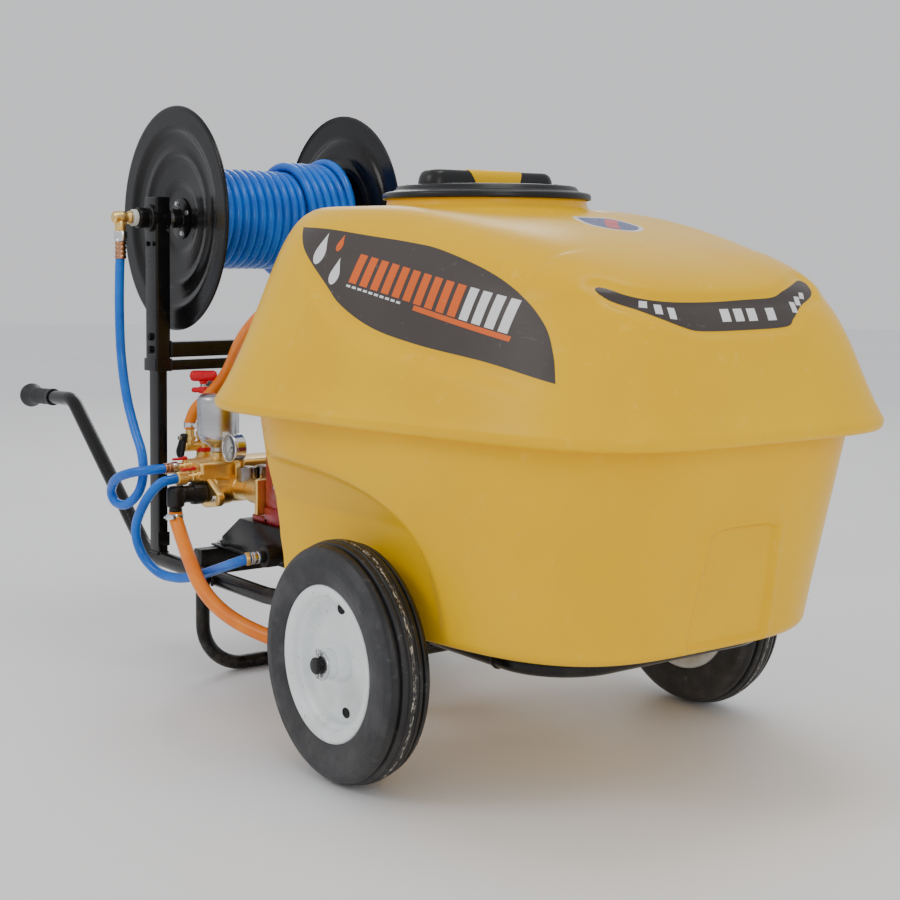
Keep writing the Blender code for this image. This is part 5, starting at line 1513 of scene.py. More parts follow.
def make_grips():
    profile = [(0.0152, 0.0), (0.0180, 0.0), (0.0188, 0.0015), (0.0188, 0.0110), (0.0180, 0.0130)]
    for k in range(11):
        start = 0.0165 + 0.0078 * k
        profile += [(0.0169, start), (0.0176, start + 0.0014), (0.0178, start + 0.0045),
            (0.0169, start + 0.0060)]
    profile += [(0.0178, 0.1045), (0.0215, 0.1150), (0.0262, 0.1240), (0.0270, 0.1275), (0.0262, 0.1330),
        (0.0200, 0.1362),
                (0.0110, 0.1374), (0.0, 0.1376), (0.0, 0.1130), (0.0152, 0.1130)]
    tilt = math.atan2(0.460 - 0.4515, 1.512 - 1.296)
    for side, name in ((-1, "right"), (1, "left")):
        bm = lathe([(0.0, 0.1130)] + [(0.0152, 0.1130)] + profile[:-2], 56, "X", soft=0.0006)
        bm.transform(Matrix.Rotation(math.pi - tilt, 4, "Y"))
        start = (-1.399, side * RAIL_Y, 0.460 - 0.103 * math.tan(tilt))
        put(f"{name} grip", moved(bm, start), GRIP, nodes=[f"{name}_grip"])


make_rails()
make_beam_and_stand()
make_posts()
make_deck()
make_grips()


# ---------------------------------------------------------------- hose reel


def make_reel():
    steps = [(0.0130, 0.0), (0.050, 0.0), (0.060, 0.0004), (0.068, 0.0030), (0.078, 0.0048),
        (0.110, 0.0072),
             (0.120, 0.0090), (0.126, 0.0118), (0.132, 0.0126), (0.138, 0.0116), (0.146, 0.0112),
             (0.160, 0.0125),
             (0.168, 0.0150), (0.1745, 0.0188), (0.182, 0.0203), (0.205, 0.0203), (0.2125, 0.0205),
             (0.2172, 0.0200),
             (0.2196, 0.0180), (0.2200, 0.0150), (0.2192, 0.0138)]
    under = [(r - 0.0012, h - 0.0016) for r, h in reversed(steps[1:-2])]
    disc = steps + under + [(0.0130, -0.0016)]
    for side, name in ((-1, "right"), (1, "left")):
        at = (POST_X, side * DISC_Y, REEL_Z)
        facing = [(r, -side * (0.0205 - h)) for r, h in disc]
        body = lathe(facing, 160, "Y", at, soft=0.0022, steps=3)
        hub = [(0.0128, 0.0006), (0.0400, 0.0006), (0.0405, 0.0030), (0.0200, 0.0040), (0.0190, 0.0060),
            (0.0188, 0.0215),
               (0.0128, 0.0215)]
        hub = lathe([(r, -side * (0.0205 - h)) for r, h in hub], 56, "Y", at)
        put(f"{name} reel disc", join(body, hub), PAINT, "reel", [f"{name}_reel_disc"], 30)
        bolts = []
        for k in range(4):
            turn = math.radians(20 + 90 * k)
            bolts.append(bolt((POST_X + 0.031 * math.cos(turn), side * (DISC_Y - 0.0175),
                REEL_Z + 0.031 * math.sin(turn)),
                              (0, side, 0), 0.005))
        put(f"{name} reel disc bolts", join(*bolts), ZINC, "reel")
    end = DISC_Y - 0.0205 - 0.0018
    core = lathe([(0.0430, -end), (0.0450, -end), (0.0450, end), (0.0430, end)], 72, "Y",
        (POST_X, 0, REEL_Z), soft=0.0004)
    put("reel drum", core, PAINT, "reel", ["reel_drum"])
    shaft = lathe([(0, -0.2855), (0.0110, -0.2855), (0.0125, -0.2845), (0.0125, -0.2600),
        (0.0119, -0.2595), (0.0119, -0.2570),
                   (0.0125, -0.2565), (0.0125, 0.2830), (0.0110, 0.2840), (0, 0.2840)], 48, "Y",
                   (POST_X, 0, REEL_Z), soft=0.0004)
    put("reel shaft", shaft, STEEL, "reel", ["reel_shaft"])
    collar = lathe([(0.0127, -0.2730), (0.0190, -0.2730), (0.0198, -0.2715), (0.0198, -0.2545),
        (0.0127, -0.2535)], 56, "Y",
                   (POST_X, 0, REEL_Z))
    put("shaft collar", collar, PAINT, "reel")
    ring = lathe([(0.0127, -0.2835), (0.0158, -0.2835), (0.0162, -0.2825), (0.0162, -0.2750),
        (0.0127, -0.2740)], 48, "Y",
                 (POST_X, 0, REEL_Z))
    put("shaft seal ring", ring, NYLON, "reel")
    outline = arc((0, 0), 0.0185, -8, 188, 16) + arc((0, -0.135), 0.0155, 188, 352, 14)
    arm = plate(outline, 0.2845, 0.2905, "XZ", 0.0012)
    arm_at = (POST_X, 0, REEL_Z)
    pin = lathe([(0, 0.2825), (0.0075, 0.2825), (0.0075, 0.2845), (0.005, 0.2850), (0.005, 0.3715),
        (0.0040, 0.3725),
                 (0, 0.3725)], 28, "Y", (0, 0, -0.135))
    hub = lathe([(0.0, 0.2900), (0.0165, 0.2900), (0.0165, 0.2975), (0.0150, 0.2990), (0, 0.2990)], 40, "Y")
    tip = moved(hexagon(0.0100, 0.368, 0.3745), (0, 0, -0.135), (0, 1, 0))
    put("crank arm", moved(join(arm, pin, hub, tip), arm_at), PAINT, "reel", ["crank_arm"])

    def fluted(r, h, turn):
        return (r - 0.0006 * (0.5 + 0.5 * math.cos(10 * turn)) if 0.304 < h < 0.350 else r), h

    knob = [(0.0052, 0.2935), (0.0118, 0.2935), (0.0132, 0.2955), (0.0142, 0.3000), (0.0155, 0.3050),
        (0.0158, 0.3300),
            (0.0151, 0.3500), (0.0142, 0.3600), (0.0115, 0.3665), (0.0085, 0.3675), (0.0052, 0.3675)]
    put("crank knob",
        lathe(knob, 80, "Y", (POST_X, 0, REEL_Z - 0.135), soft=0.0012, steps=3, shape=fluted), PLASTIC,
        "crank_knob", ["crank_knob"])


def make_swivel():
    """The brass elbow that lets the reel's shaft turn while the feed hose hangs still."""
    x, z = POST_X, REEL_Z
    run = lathe([(0, -0.0375), (0.0085, -0.0370), (0.0118, -0.0340), (0.0118, -0.0120), (0.0098, -0.0105),
        (0.0098, -0.0065),
                 (0.0126, -0.0045), (0.0126, 0.0), (0, 0.0)], 44, "Y", (x, -0.2858, z), soft=0.0008)
    collar = moved(hexagon(0.0225, -0.0255, -0.0130), (x, -0.2858, z), (0, 1, 0), 15)
    drop = lathe([(0, -0.0440), (0.0088, -0.0440), (0.0092, -0.0255), (0.0108, -0.0240), (0.0108, -0.0120),
        (0.0090, 0.0),
                  (0.0088, 0.0100), (0, 0.0112)], 44, at=(x, -0.307, z), soft=0.0008)
    put("swivel elbow", join(run, collar, drop), BRASS, nodes=["swivel_elbow"])
    nut = moved(hexagon(0.0225, -0.0415, -0.0265), (x, -0.307, z), turn=8)
    ring = lathe([(0.0088, -0.0455), (0.0115, -0.0455), (0.0122, -0.0440), (0.0115, -0.0418),
        (0.0088, -0.0418)], 40,
                 at=(x, -0.307, z), soft=0.0004)
    put("swivel hose nut", join(nut, ring), CHROME)


make_reel()
make_swivel()


# ---------------------------------------------------------------- pump


def make_crankcase():
    x, z = CRANK_AXIS
    low, high = (x - 0.0745, PUMP_Y - 0.070, 0.312), (x + 0.0745, PUMP_Y + 0.070, 0.424)
    parts = [slab(low, high, 0.015, 6)]
    for y in (PUMP_Y - 0.056, PUMP_Y + 0.056):
        parts.append(slab((x - 0.0740, y - 0.0125, BRACKET_TOP_Z), (x + 0.010, y + 0.0125, 0.318), 0.003))
        parts.append(slab((x - 0.1180, y - 0.0125, BRACKET_TOP_Z), (x - 0.060, y + 0.0125, 0.2998), 0.003))
        parts.append(plate([(x - 0.1130, 0.2985), (x - 0.1000, 0.2985), (x - 0.0700, 0.3015),
            (x - 0.0700, 0.2985)],
                           y - 0.003, y + 0.003, "XZ", 0.001))
    parts.append(lathe([(0, -0.0762), (0.0280, -0.0762), (0.030, -0.0745), (0.030, 0.0745),
        (0.0280, 0.0762), (0.0102, 0.0762),
                        (0.0102, 0.060), (0, 0.060)], 64, "Y", (x, PUMP_Y, z), soft=0.0012))
    for k in range(5):
        y = PUMP_Y - 0.048 + 0.024 * k
        parts.append(slab((x - 0.050, y - 0.002, 0.4230), (x + 0.055, y + 0.002, 0.4275), 0.0012, 2))
    cover = plate(rounded_box(0.040, 0.034, 0.010, 5), PUMP_Y - 0.0735, PUMP_Y - 0.069, "XZ", 0.001)
    parts.append(moved(cover, (x, 0, z - 0.002)))
    parts.append(slab((x + 0.0735, PUMP_Y - 0.052, z - 0.040), (x + 0.0785, PUMP_Y + 0.052, z + 0.038),
        0.0022))
    put("crankcase", join(*parts), CASTING, nodes=["crankcase"])
    bolts = []
    for k in range(6):
        turn = math.radians(30 + 60 * k)
        bolts.append(bolt((x + 0.0235 * math.cos(turn), PUMP_Y - 0.0762, z + 0.0235 * math.sin(turn)),
            (0, -1, 0), 0.0035))
    for dy in (-0.044, 0.044):
        for dz in (-0.032, 0.030):
            bolts.append(bolt((x + 0.0785, PUMP_Y + dy, z + dz), (1, 0, 0), 0.005))
    filler = join(lathe([(0, 0.4235), (0.0130, 0.4235), (0.0130, 0.4270), (0.0105, 0.4285),
        (0.0105, 0.4300), (0, 0.4300)], 40),
                  moved(hexagon(0.019, 0.4290, 0.4370)))
    put("crankcase bolts", join(*bolts), ZINC)
    put("oil filler plug", moved(filler, (x + 0.030, PUMP_Y + 0.038, 0)), RED)


def make_manifold():
    metal = []
    tube = [(0, -0.1030), (0.0205, -0.1030), (0.0240, -0.1005), (0.0240, -0.0900), (0.0228, -0.0880),
        (0.0228, 0.0660),
            (0.0240, 0.0680), (0.0240, 0.0760), (0.0200, 0.0800), (0, 0.0800)]
    metal.append(lathe(tube, 64, "Y", (-0.702, PUMP_Y, 0.330), soft=0.0015, steps=3))
    metal.append(slab((-0.768, -0.236, 0.350), (-0.690, -0.036, 0.3875), 0.0075, 5))
    for y in CYLINDERS_Y:
        barrel = [(0, -0.146), (0.0215, -0.146), (0.0232, -0.140), (0.0232, -0.112), (0.0216, -0.108),
            (0.0216, -0.072),
                  (0.0236, -0.066), (0.0236, -0.022), (0.0250, -0.016), (0.0250, -0.003), (0, -0.003)]
        metal.append(lathe(barrel, 48, "X", (-0.5560, y, 0.338), soft=0.003, steps=3))
        metal.append(lathe([(0, 0.330), (0.0158, 0.330), (0.0158, 0.3520), (0, 0.3520)], 44,
            at=(VALVE_X, y, 0)))
        metal.append(lathe([(0, -0.0010), (0.0105, -0.0010), (0.0105, 0.030), (0, 0.030)], 28, "Z",
            (-0.702, y, 0.3480)))
    metal.append(slab((-0.5660, PUMP_Y - 0.082, 0.303), (-0.5561, PUMP_Y + 0.082, 0.368), 0.0030, 3))
    metal.append(slab((-0.6900, PUMP_Y - 0.064, 0.3240), (-0.6300, PUMP_Y + 0.040, 0.3500), 0.0060, 4))
    bell = [(0, -0.0990), (0.0290, -0.0990), (0.0282, -0.0900), (0.0258, -0.0760), (0.0240, -0.0580),
        (0, -0.0580)]
    metal.append(lathe(bell, 64, "Y", (-0.702, PUMP_Y, 0.330), soft=0.003, steps=3))
    inlet = plate(oval(0.0290, 0.0150, 0.041, 12), -0.1115, -0.0965, "XZ", 0.0045, 4)
    inlet.transform(Matrix.Rotation(math.radians(10), 4, "Y"))
    bmesh.ops.translate(inlet, vec=(-0.702, PUMP_Y, 0.330), verts=inlet.verts)
    metal.append(inlet)
    metal.append(lathe([(0, -0.008), (0.0140, -0.008), (0.0140, 0.0015), (0.0125, 0.0030), (0.0125, 0.012),
        (0, 0.012)], 40,
                       at=(*CHAMBER, 0.3875)))
    metal.append(lathe([(0, 0.345), (0.0095, 0.345), (0.0095, 0.3860), (0, 0.3860)], 32,
        at=(GAUGE[0], GAUGE[1] + 0.014, 0)))
    for x, z in OUTLETS:
        metal.append(lathe([(0, -0.262), (0.0078, -0.262), (0.0086, -0.2600), (0.0086, -0.2520),
            (0.0098, -0.2510),
                            (0.0098, -0.2390), (0.0110, -0.2380), (0.0110, -0.2300), (0, -0.2300)], 36,
                            "Y", (x, 0, z)))
        metal.append(moved(hexagon(0.0205, -0.2420, -0.2345), (x, 0, z), (0, 1, 0)))
        metal.append(lathe([(0, 0.0), (0.0062, 0.0), (0.0062, 0.0105), (0.0043, 0.0115), (0.0043, 0.0136),
            (0, 0.0136)], 24,
                           at=(x, COCK_Y, z)))
    x, y = REGULATOR
    metal.append(slab((x - 0.0150, y - 0.0150, 0.354), (-0.758, y + 0.0150, 0.380), 0.0045, 4))
    metal.append(lathe([(0, 0.3780), (0.0150, 0.3780), (0.0150, 0.3805), (0, 0.3805)], 36, at=(x, y, 0)))
    put("pump manifold", join(*metal), BRASS, nodes=["manifold"])
    caps = []
    for k, y in enumerate(CYLINDERS_Y):
        cap = moved(hexagon(0.0345, 0.3510, 0.3785), turn=8 * k)
        top = lathe([(0, 0.3780), (0.0138, 0.3780), (0.0126, 0.3796), (0.0080, 0.3803), (0, 0.3803)], 40)
        caps.append(moved(join(cap, top), (VALVE_X, y, 0)))
    put("valve caps", join(*caps), DARK_STEEL)
    caps = []
    for dy in (-0.072, -0.030, 0.030, 0.072):
        for z in (0.3115, 0.3595):
            caps.append(bolt((-0.5660, PUMP_Y + dy, z), (-1, 0, 0), 0.0068))
    for reach in (-0.041, 0.041):
        turn = math.radians(10)
        at = (-0.702 + reach * math.cos(turn), PUMP_Y - 0.1117, 0.330 - reach * math.sin(turn))
        caps.append(bolt(at, (0, -1, 0), 0.0062))
    put("pump nuts", join(*caps), CHROME)


def make_pump_fittings():
    x, y = CHAMBER
    shell = [(0, 0.4002), (0.0125, 0.4002), (0.0145, 0.4015), (0.0145, 0.4085), (0.0160, 0.4105),
        (0.0300, 0.4190),
             (0.0375, 0.4265), (0.0398, 0.4340), (0.0400, 0.4400), (0.0400, 0.4960), (0.0396, 0.5010),
             (0.0375, 0.5062),
             (0.0330, 0.5098), (0.0260, 0.5118), (0, 0.5130)]
    nut = moved(hexagon(0.0260, 0.4010, 0.4090), (x, y, 0), turn=10)
    seam = lathe([(0.0398, 0.4325), (0.04045, 0.4330), (0.04045, 0.4345), (0.0398, 0.4350)], 96,
        at=(x, y, 0), soft=0.0003)
    put("air chamber", join(lathe(shell, 96, at=(x, y, 0), soft=0.0030, steps=4), nut, seam), STAINLESS,
        nodes=["air_chamber"])
    x, y = REGULATOR
    body = [(0, 0.3803), (0.0150, 0.3803), (0.0150, 0.390), (0.0132, 0.3925), (0.0132, 0.4140),
        (0.0148, 0.4160),
            (0.0158, 0.4220), (0.0158, 0.4300), (0.0080, 0.4345), (0.0046, 0.4358), (0.0046, 0.410),
            (0, 0.410)]
    parts = [lathe(body, 44, at=(x, y, 0)), moved(hexagon(0.0285, 0.4215, 0.4300), (x, y, 0), turn=20)]
    parts.append(lathe([(0, -0.0420), (0.0088, -0.0420), (0.0095, -0.0400), (0.0095, 0), (0, 0)], 32, "Y",
        (x, y, 0.402)))
    parts.append(lathe([(0, -0.006), (0.0095, -0.006), (0.0095, 0.0110), (0.0086, 0.0120), (0.0086, 0.034),
        (0, 0.034)], 32,
                       at=(x, y - 0.030, 0.402)))
    parts.append(moved(hexagon(0.0195, 0.0120, 0.0200), (x, y - 0.030, 0.402)))
    parts.append(lathe([(0, -0.0520), (0.0030, -0.0520), (0.0035, -0.0510), (0.0035, -0.030), (0, -0.030)],
        20, "Y", (x, y, 0.420)))
    put("pressure regulator", join(*parts), BRASS, nodes=["regulator_body"])
    ring = lathe([(0.0135, 0.3920), (0.0172, 0.3920), (0.0176, 0.3935), (0.0172, 0.3985),
        (0.0135, 0.3990)], 48, at=(x, y, 0))
    put("regulator base ring", ring, RED)
    stem = lathe([(0, 0.4112), (0.0040, 0.4112), (0.0040, 0.5060), (0.0058, 0.5070), (0.0058, 0.5150),
        (0.0040, 0.5160),
                  (0.0040, 0.5300), (0, 0.5300)], 28, at=(x, y, 0))
    put("regulator stem", stem, STEEL, "regulator_knob")
    bars = []
    for reach, half, low, high, soft in ((0.024, 0.008, 0.506, 0.516, 0.0035),
        (0.0275, 0.0095, 0.528, 0.549, 0.0072)):
        bm = bmesh.new()
        rows = []
        for share in (-1, -0.75, 0, 0.75, 1):
            inset = soft * (1 - math.sqrt(max(0, 1 - share * share)))
            z = (low + high) / 2 + share * (high - low) / 2
            outline = rounded_box(half - inset, reach - inset, half - inset - 0.0005, 8)
            rows.append([bm.verts.new((a, b, z)) for a, b in outline])
        skin(bm, rows)
        bm.faces.new(rows[0])
        bm.faces.new(rows[-1])
        bars.append(moved(bm, (x, y, 0), turn=-37))
    bars.append(lathe([(0, 0.5045), (0.0090, 0.5045), (0.0095, 0.5060), (0.0090, 0.5175), (0, 0.5175)], 32,
        at=(x, y, 0)))
    bars.append(lathe([(0, 0.5230), (0.0075, 0.5230), (0.0095, 0.5290), (0, 0.5290)], 32, at=(x, y, 0)))
    put("regulator knob", join(*bars), RED, "regulator_knob", ["regulator_knob"], 50)
    outline = arc((0, 0), 0.0085, 10, 170, 14) + arc((0, -0.032), 0.0128, 185, 355, 18)
    blade = plate(outline, -0.0480, -0.0400, "XZ", 0.0028, 4)
    boss = lathe([(0.0037, -0.0490), (0.0075, -0.0490), (0.0080, -0.0480), (0.0080, -0.0395),
        (0.0037, -0.0395)], 28, "Y")
    lever = join(blade, boss)
    lever.transform(Matrix.Rotation(math.radians(25), 4, "Y"))
    put("relief lever", moved(lever, (x, y, 0.420)), PLASTIC, "relief_lever",
        ["relief_lever"])
    clip = moved(hexagon(0.0085, -0.0545, -0.0500), (x, y, 0.420), (0, 1, 0))
    put("relief lever nut", clip, ZINC)
    for k, (cx, cz) in enumerate(OUTLETS):
        name = ("upper", "lower")[k]
        outline = arc((0, 0), 0.0058, 20, 160, 8) + arc((0, -0.0215), 0.0046, 180, 360, 10)
        tongue = plate(outline, 0.0, 0.0042, "XY", 0.0012, 3)
        cap = lathe([(0, 0.0030), (0.0042, 0.0030), (0.0036, 0.0062), (0, 0.0066)], 24)
        put(f"{name} cock lever", moved(join(tongue, cap), (cx, COCK_Y, cz + 0.0140)), RED,
            f"{name}_cock_lever", [f"{name}_cock_lever"])
    at = (-0.702, PUMP_Y - 0.112, 0.330)
    run = lathe([(0, -0.0640), (0.0120, -0.0635), (0.0160, -0.0600), (0.0160, -0.0500), (0.0172, -0.0490),
        (0.0172, -0.0440),
                 (0.0160, -0.0430), (0.0160, -0.0270), (0.0200, -0.0262), (0.0200, -0.0035),
                 (0.0190, -0.0010), (0, -0.0010)],
                56, "Y", at)
    ribs = []
    for k in range(10):
        rib = slab((0.0185, -0.0245, -0.0016), (0.0208, -0.0045, 0.0016), 0.0008, 2)
        rib.transform(Matrix.Rotation(math.radians(36 * k), 4, "Y"))
        ribs.append(moved(rib, at))
    drop = lathe([(0, -0.0300), (0.0112, -0.0300), (0.0125, -0.0285), (0.0118, -0.0240), (0.0128, -0.0225),
        (0.0165, -0.0195),
                  (0.0165, 0.0080), (0.0150, 0.0130), (0.0100, 0.0165), (0, 0.0172)], 56,
                  at=(at[0], -0.283, at[2]), soft=0.0012)
    put("suction elbow", join(run, drop, *ribs), PLASTIC, nodes=["suction_elbow"])


def number(text, at, size):
    """A raised numeral for the dial, facing the pump's right side."""
    font = bpy.data.curves.new(f"numeral {text}", "FONT")
    font.body, font.size, font.extrude = text, size, 0.00004
    font.align_x, font.align_y = "CENTER", "CENTER"
    holder = bpy.data.objects.new(f"numeral {text}", font)
    mesh = bpy.data.meshes.new_from_object(holder)
    bm = bmesh.new()
    bm.from_mesh(mesh)
    bpy.data.objects.remove(holder)
    bpy.data.curves.remove(font)
    bpy.data.meshes.remove(mesh)
    bmesh.ops.remove_doubles(bm, verts=bm.verts, dist=1e-7)
    bm.transform(Matrix.Rotation(math.radians(90), 4, "X"))
    return moved(bm, at)


def make_gauge():
    x, y, z = GAUGE
    case = [(0, 0.0165), (0.0210, 0.0165), (0.0250, 0.0150), (0.0265, 0.0130), (0.0265, -0.0045),
        (0.0276, -0.0055),
            (0.0278, -0.0085), (0.0268, -0.0102), (0.0252, -0.0104), (0.0243, -0.0095), (0.0243, 0.0),
            (0.0015, 0.0),
            (0.0015, -0.0035), (0, -0.0035)]
    put("gauge case", lathe(case, 96, "Y", GAUGE, soft=0.0008, steps=3), CHROME,
        nodes=["gauge_case"])
    stem = lathe([(0, -0.0300), (0.0062, -0.0300), (0.0062, -0.0200), (0, -0.0200)], 28,
        at=(x, y + 0.014, z))
    flats = moved(hexagon(0.0150, -0.0290, -0.0235), (x, y + 0.014, z), turn=10)
    put("gauge stem", join(stem, flats), BRASS)
    dial = lathe([(0.0018, -0.0002), (0.0241, -0.0002), (0.0241, -0.0008), (0.0018, -0.0008)], 72, "Y",
        GAUGE, soft=0)
    put("gauge dial", dial, DIAL)
    ticks = []
    for k in range(31):
        turn = math.radians(225 - 270 * k / 30)
        long, half = (0.0038, 0.00030) if k % 5 == 0 else (0.0021, 0.00014)
        tick = slab((0.0222 - long, -0.00030, -half), (0.0222, 0.00030, half), 0.00004, 1)
        tick.transform(Matrix.Rotation(-turn, 4, "Y"))
        ticks.append(moved(tick, (x, y - 0.0010, z)))
    ring = lathe([(0.0222, -0.0008), (0.0226, -0.0008), (0.0226, -0.0011), (0.0222, -0.0011)], 72, "Y",
        GAUGE, soft=0)
    for k in range(4):
        turn = math.radians(225 - 90 * k)
        ticks.append(number(str(20 * k),
            (x + 0.0138 * math.cos(turn), y - 0.0009, z + 0.0138 * math.sin(turn)), 0.0062))
    put("gauge scale", join(ring, *ticks), NEEDLE)
    outline = [(-0.0011, -0.0065), (0.0011, -0.0065), (0.0013, 0.0), (0.0003, 0.0190), (-0.0003, 0.0190),
        (-0.0013, 0.0)]
    hand = join(plate(outline, -0.0046, -0.0040, "XZ", 0.0001, 1),
                lathe([(0, -0.0040), (0.0024, -0.0040), (0.0024, -0.0050), (0.0016, -0.0056),
                    (0, -0.0056)], 28, "Y"))
    hand.transform(Matrix.Rotation(math.radians(225), 4, "Y"))
    put("gauge needle", moved(hand, GAUGE), NEEDLE, "gauge_needle", ["gauge_needle"])
    lens = lathe([(0, -0.0095), (0.0150, -0.0095), (0.0238, -0.0090), (0.0241, -0.0086), (0.0241, -0.0080),
        (0, -0.0080)], 72,
                 "Y", GAUGE, soft=0.0002)
    put("gauge lens", lens, GLASS, nodes=["gauge_lens"])


make_crankcase()
make_manifold()
make_pump_fittings()
make_gauge()


# ---------------------------------------------------------------- drive


def make_pulley(name, radius, at, shaft, low, high, body, bolts):
    w, depth = 0.011, 0.010
    profile = [(0, low), (shaft - 0.0006, low), (shaft, low + 0.0008), (shaft, -w - 0.006),
        (shaft + 0.010, -w - 0.006),
               (shaft + 0.011, -w + 0.003), (radius - 0.016, -w + 0.004), (radius - 0.013, -w),
               (radius - 0.0006, -w),
               (radius, -w + 0.0008), (radius - depth, -w + 0.006), (radius - depth, w - 0.006),
               (radius, w - 0.0008),
               (radius - 0.0006, w), (radius - 0.013, w), (radius - 0.016, w - 0.004),
               (shaft + 0.011, w - 0.003),
               (shaft + 0.010, w)]
    if high > w:
        profile += [(shaft, w), (shaft, high), (0, high)]
    else:
        profile += [(0, w)]
    if low > -w - 0.006:
        profile = [(0, -w)] + profile[4:]
        profile[1] = (shaft + 0.010, -w)
    parts = [lathe(profile, 96, "Y", at, soft=0.0005)]
    for k in range(bolts):
        turn = math.tau * k / bolts
        spot = (at[0] + (shaft + 0.0055) * math.cos(turn), at[1] + w,
            at[2] + (shaft + 0.0055) * math.sin(turn))
        parts.append(bolt(spot, (0, 1, 0), 0.003, washer=False))
    put(name.replace("_", " "), join(*parts), IRON, body, [name])


def belt_loop(grow, steps):
    """The outline around both pulleys, at a distance outside the groove's bottom."""
    (x1, z1), (x2, z2) = MOTOR_AXIS, CRANK_AXIS
    r1, r2 = 0.025 + grow, 0.060 + grow
    heading = math.degrees(math.atan2(z2 - z1, x2 - x1))
    lean = math.degrees(math.asin((r2 - r1) / math.dist(MOTOR_AXIS, CRANK_AXIS)))
    small = arc((x1, z1), r1, heading + 90 + lean, heading + 270 - lean, steps)
    return small + arc((x2, z2), r2, heading - 90 - lean, heading + 90 + lean, steps + 12)


def loop_band(section):
    """A closed band around both pulleys, whose section is a loop of (distance out, y)."""
    bm = bmesh.new()
    rows = [[bm.verts.new((x, y, z)) for x, z in belt_loop(grow, 30)] for grow, y in section]
    skin(bm, rows, closed_rows=True)
    return bm


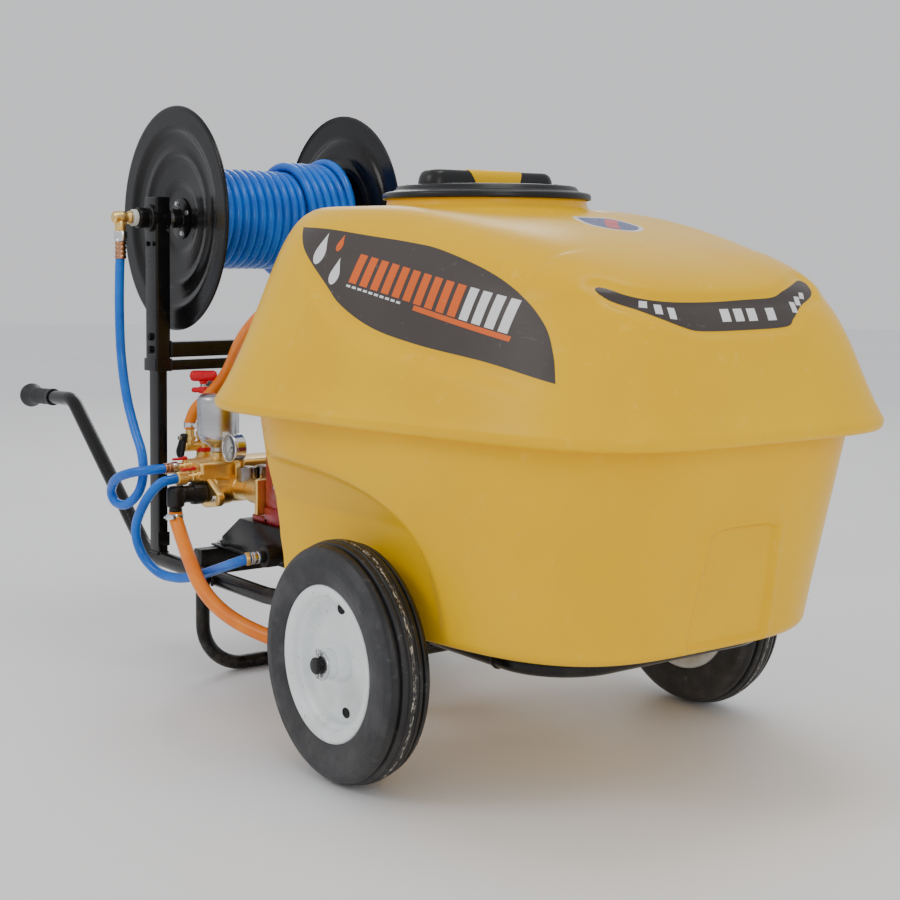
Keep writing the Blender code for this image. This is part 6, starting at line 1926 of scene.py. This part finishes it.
def make_drive():
    x, z = CRANK_AXIS
    make_pulley("pump_pulley", 0.070, (x, BELT_Y, z), 0.010, PUMP_Y + 0.024 - BELT_Y, 0.011, "pump_shaft",
        4)
    x, z = MOTOR_AXIS
    make_pulley("motor_pulley", 0.035, (x, BELT_Y, z), 0.008, -0.011, 0.052 - BELT_Y, "motor_shaft", 0)
    b = BELT_Y
    belt = loop_band([(0.0012, b - 0.0030), (0.0080, b - 0.0048), (0.0088, b - 0.0046),
        (0.0088, b + 0.0046),
                      (0.0080, b + 0.0048), (0.0012, b + 0.0030)])
    put("drive belt", belt, BELT, nodes=["drive_belt"])
    guard = loop_band([(0.0175, b - 0.0130), (0.0195, b - 0.0130), (0.0204, b - 0.0118),
        (0.0198, b - 0.0106),
                       (0.0195, b + 0.0106), (0.0204, b + 0.0118), (0.0195, b + 0.0130),
                       (0.0175, b + 0.0130)])
    top = DECK_Z + 0.0043
    foot = slab((CRANK_AXIS[0] - 0.02, b - 0.012, top), (CRANK_AXIS[0] + 0.02, b + 0.012, 0.2936), 0.0015)
    put("belt guard", join(guard, foot), PAINT, nodes=["belt_guard"])
    y0, y1 = 0.024, 0.285
    shell = [(0.0086, y0 + 0.030), (0.0086, y0 + 0.003), (0.0220, y0 + 0.003), (0.0240, y0), (0.050, y0),
        (0.053, y0 + 0.004),
             (0.071, y0 + 0.010), (0.0745, y0 + 0.014), (0.0745, y1 - 0.062), (0.0770, y1 - 0.060),
             (0.0770, y1 - 0.055),
             (0.0800, y1 - 0.053), (0.0800, y1 - 0.010), (0.0770, y1 - 0.003), (0.070, y1), (0, y1),
             (0, y0 + 0.030)]
    parts = [lathe(shell[-2:-1] + shell[:-2][::-1] + [(0, y0 + 0.030)], 96, "Y", (x, 0, z), soft=0.0015)]
    for k in range(30):
        turn = 12 * k
        if 60 < turn < 120 or 245 < turn < 295:
            continue
        fin = slab((0.0725, y0 + 0.018, -0.0011), (0.0780, y1 - 0.064, 0.0011), 0.0006, 1)
        fin.transform(Matrix.Rotation(-math.radians(turn), 4, "Y"))
        parts.append(moved(fin, (x, 0, z)))
    for y in (0.070, 0.180):
        parts.append(slab((x - 0.075, y - 0.018, top), (x + 0.075, y + 0.018, top + 0.006), 0.0015))
        parts.append(plate([(-0.052, top + 0.005), (0.052, top + 0.005), (0.044, z - 0.045),
            (-0.044, z - 0.045)],
                           y - 0.014, y + 0.014, "XZ", 0.0015))
        parts[-1] = moved(parts[-1], (x, 0, 0))
    parts.append(slab((x - 0.043, 0.077, z + 0.066), (x + 0.043, 0.173, z + 0.100), 0.004))
    parts.append(slab((x - 0.045, 0.075, z + 0.0985), (x + 0.045, 0.175, z + 0.112), 0.005, 4))
    gland = lathe([(0, 0.170), (0.0095, 0.170), (0.0095, 0.182), (0.0080, 0.186), (0.0080, 0.190),
        (0.0045, 0.1905), (0, 0.1905)], 32,
                  "Y", (x, 0, z + 0.084))
    ring = moved(hexagon(0.0210, 0.1735, 0.1800), (x, 0, z + 0.084), (0, 1, 0))
    put("electric motor", join(*parts), MOTOR, nodes=["motor"])
    put("motor cable gland", join(gland, ring), PLASTIC)
    # The fan grille's openings as flat near-black slots on the motor's end: painted shade, not cut through.
    slots = []
    for ring_radius, count in ((0.022, 10), (0.040, 16), (0.058, 22)):
        for k in range(count):
            turn = math.tau * k / count
            grille_shade_piece = slab((-0.0052, y1 - 0.0012, -0.0028), (0.0052, y1 + 0.0003, 0.0028), 0.0006, 1)
            grille_shade_piece.transform(Matrix.Rotation(math.pi / 2 - turn, 4, "Y"))
            slots.append(moved(grille_shade_piece,
                (x + ring_radius * math.cos(turn), 0, z + ring_radius * math.sin(turn))))
    put("motor fan grille shade", join(*slots), SLOT_SHADE_BLACK)
    bolts = [bolt((x + dx, y, top + 0.006), (0, 0, 1), 0.006) for dx in (-0.063, 0.063) for y in (0.070,
        0.180)]
    bolts += [bolt((x + dx, y, z + 0.112), (0, 0, 1), 0.004) for dx in (-0.036, 0.036) for y in (0.084,
        0.166)]
    for k in range(4):
        turn = math.radians(45 + 90 * k)
        bolts.append(bolt((x + 0.062 * math.cos(turn), y0 + 0.0070, z + 0.062 * math.sin(turn)),
            (0, -1, 0), 0.004))
    put("motor bolts", join(*bolts), ZINC)


make_drive()


# ---------------------------------------------------------------- pieces kept from the frame, and the floor


def repaint(node, mat):
    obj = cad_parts[node]
    obj.data.materials.clear()
    obj.data.materials.append(mat)


repaint("lid_seal", SEAL)
repaint("strainer_basket", MESH_PLASTIC)


def make_floor():
    bm = bmesh.new()
    bmesh.ops.create_circle(bm, cap_ends=True, radius=14, segments=96)
    bmesh.ops.translate(bm, vec=(0, 0, -0.0004), verts=bm.verts)
    mesh = bpy.data.meshes.new("studio floor")
    bm.to_mesh(mesh)
    bm.free()
    mesh.materials.append(floor_surface())
    obj = bpy.data.objects.new("studio_floor", mesh)
    bpy.context.scene.collection.objects.link(obj)


make_floor()
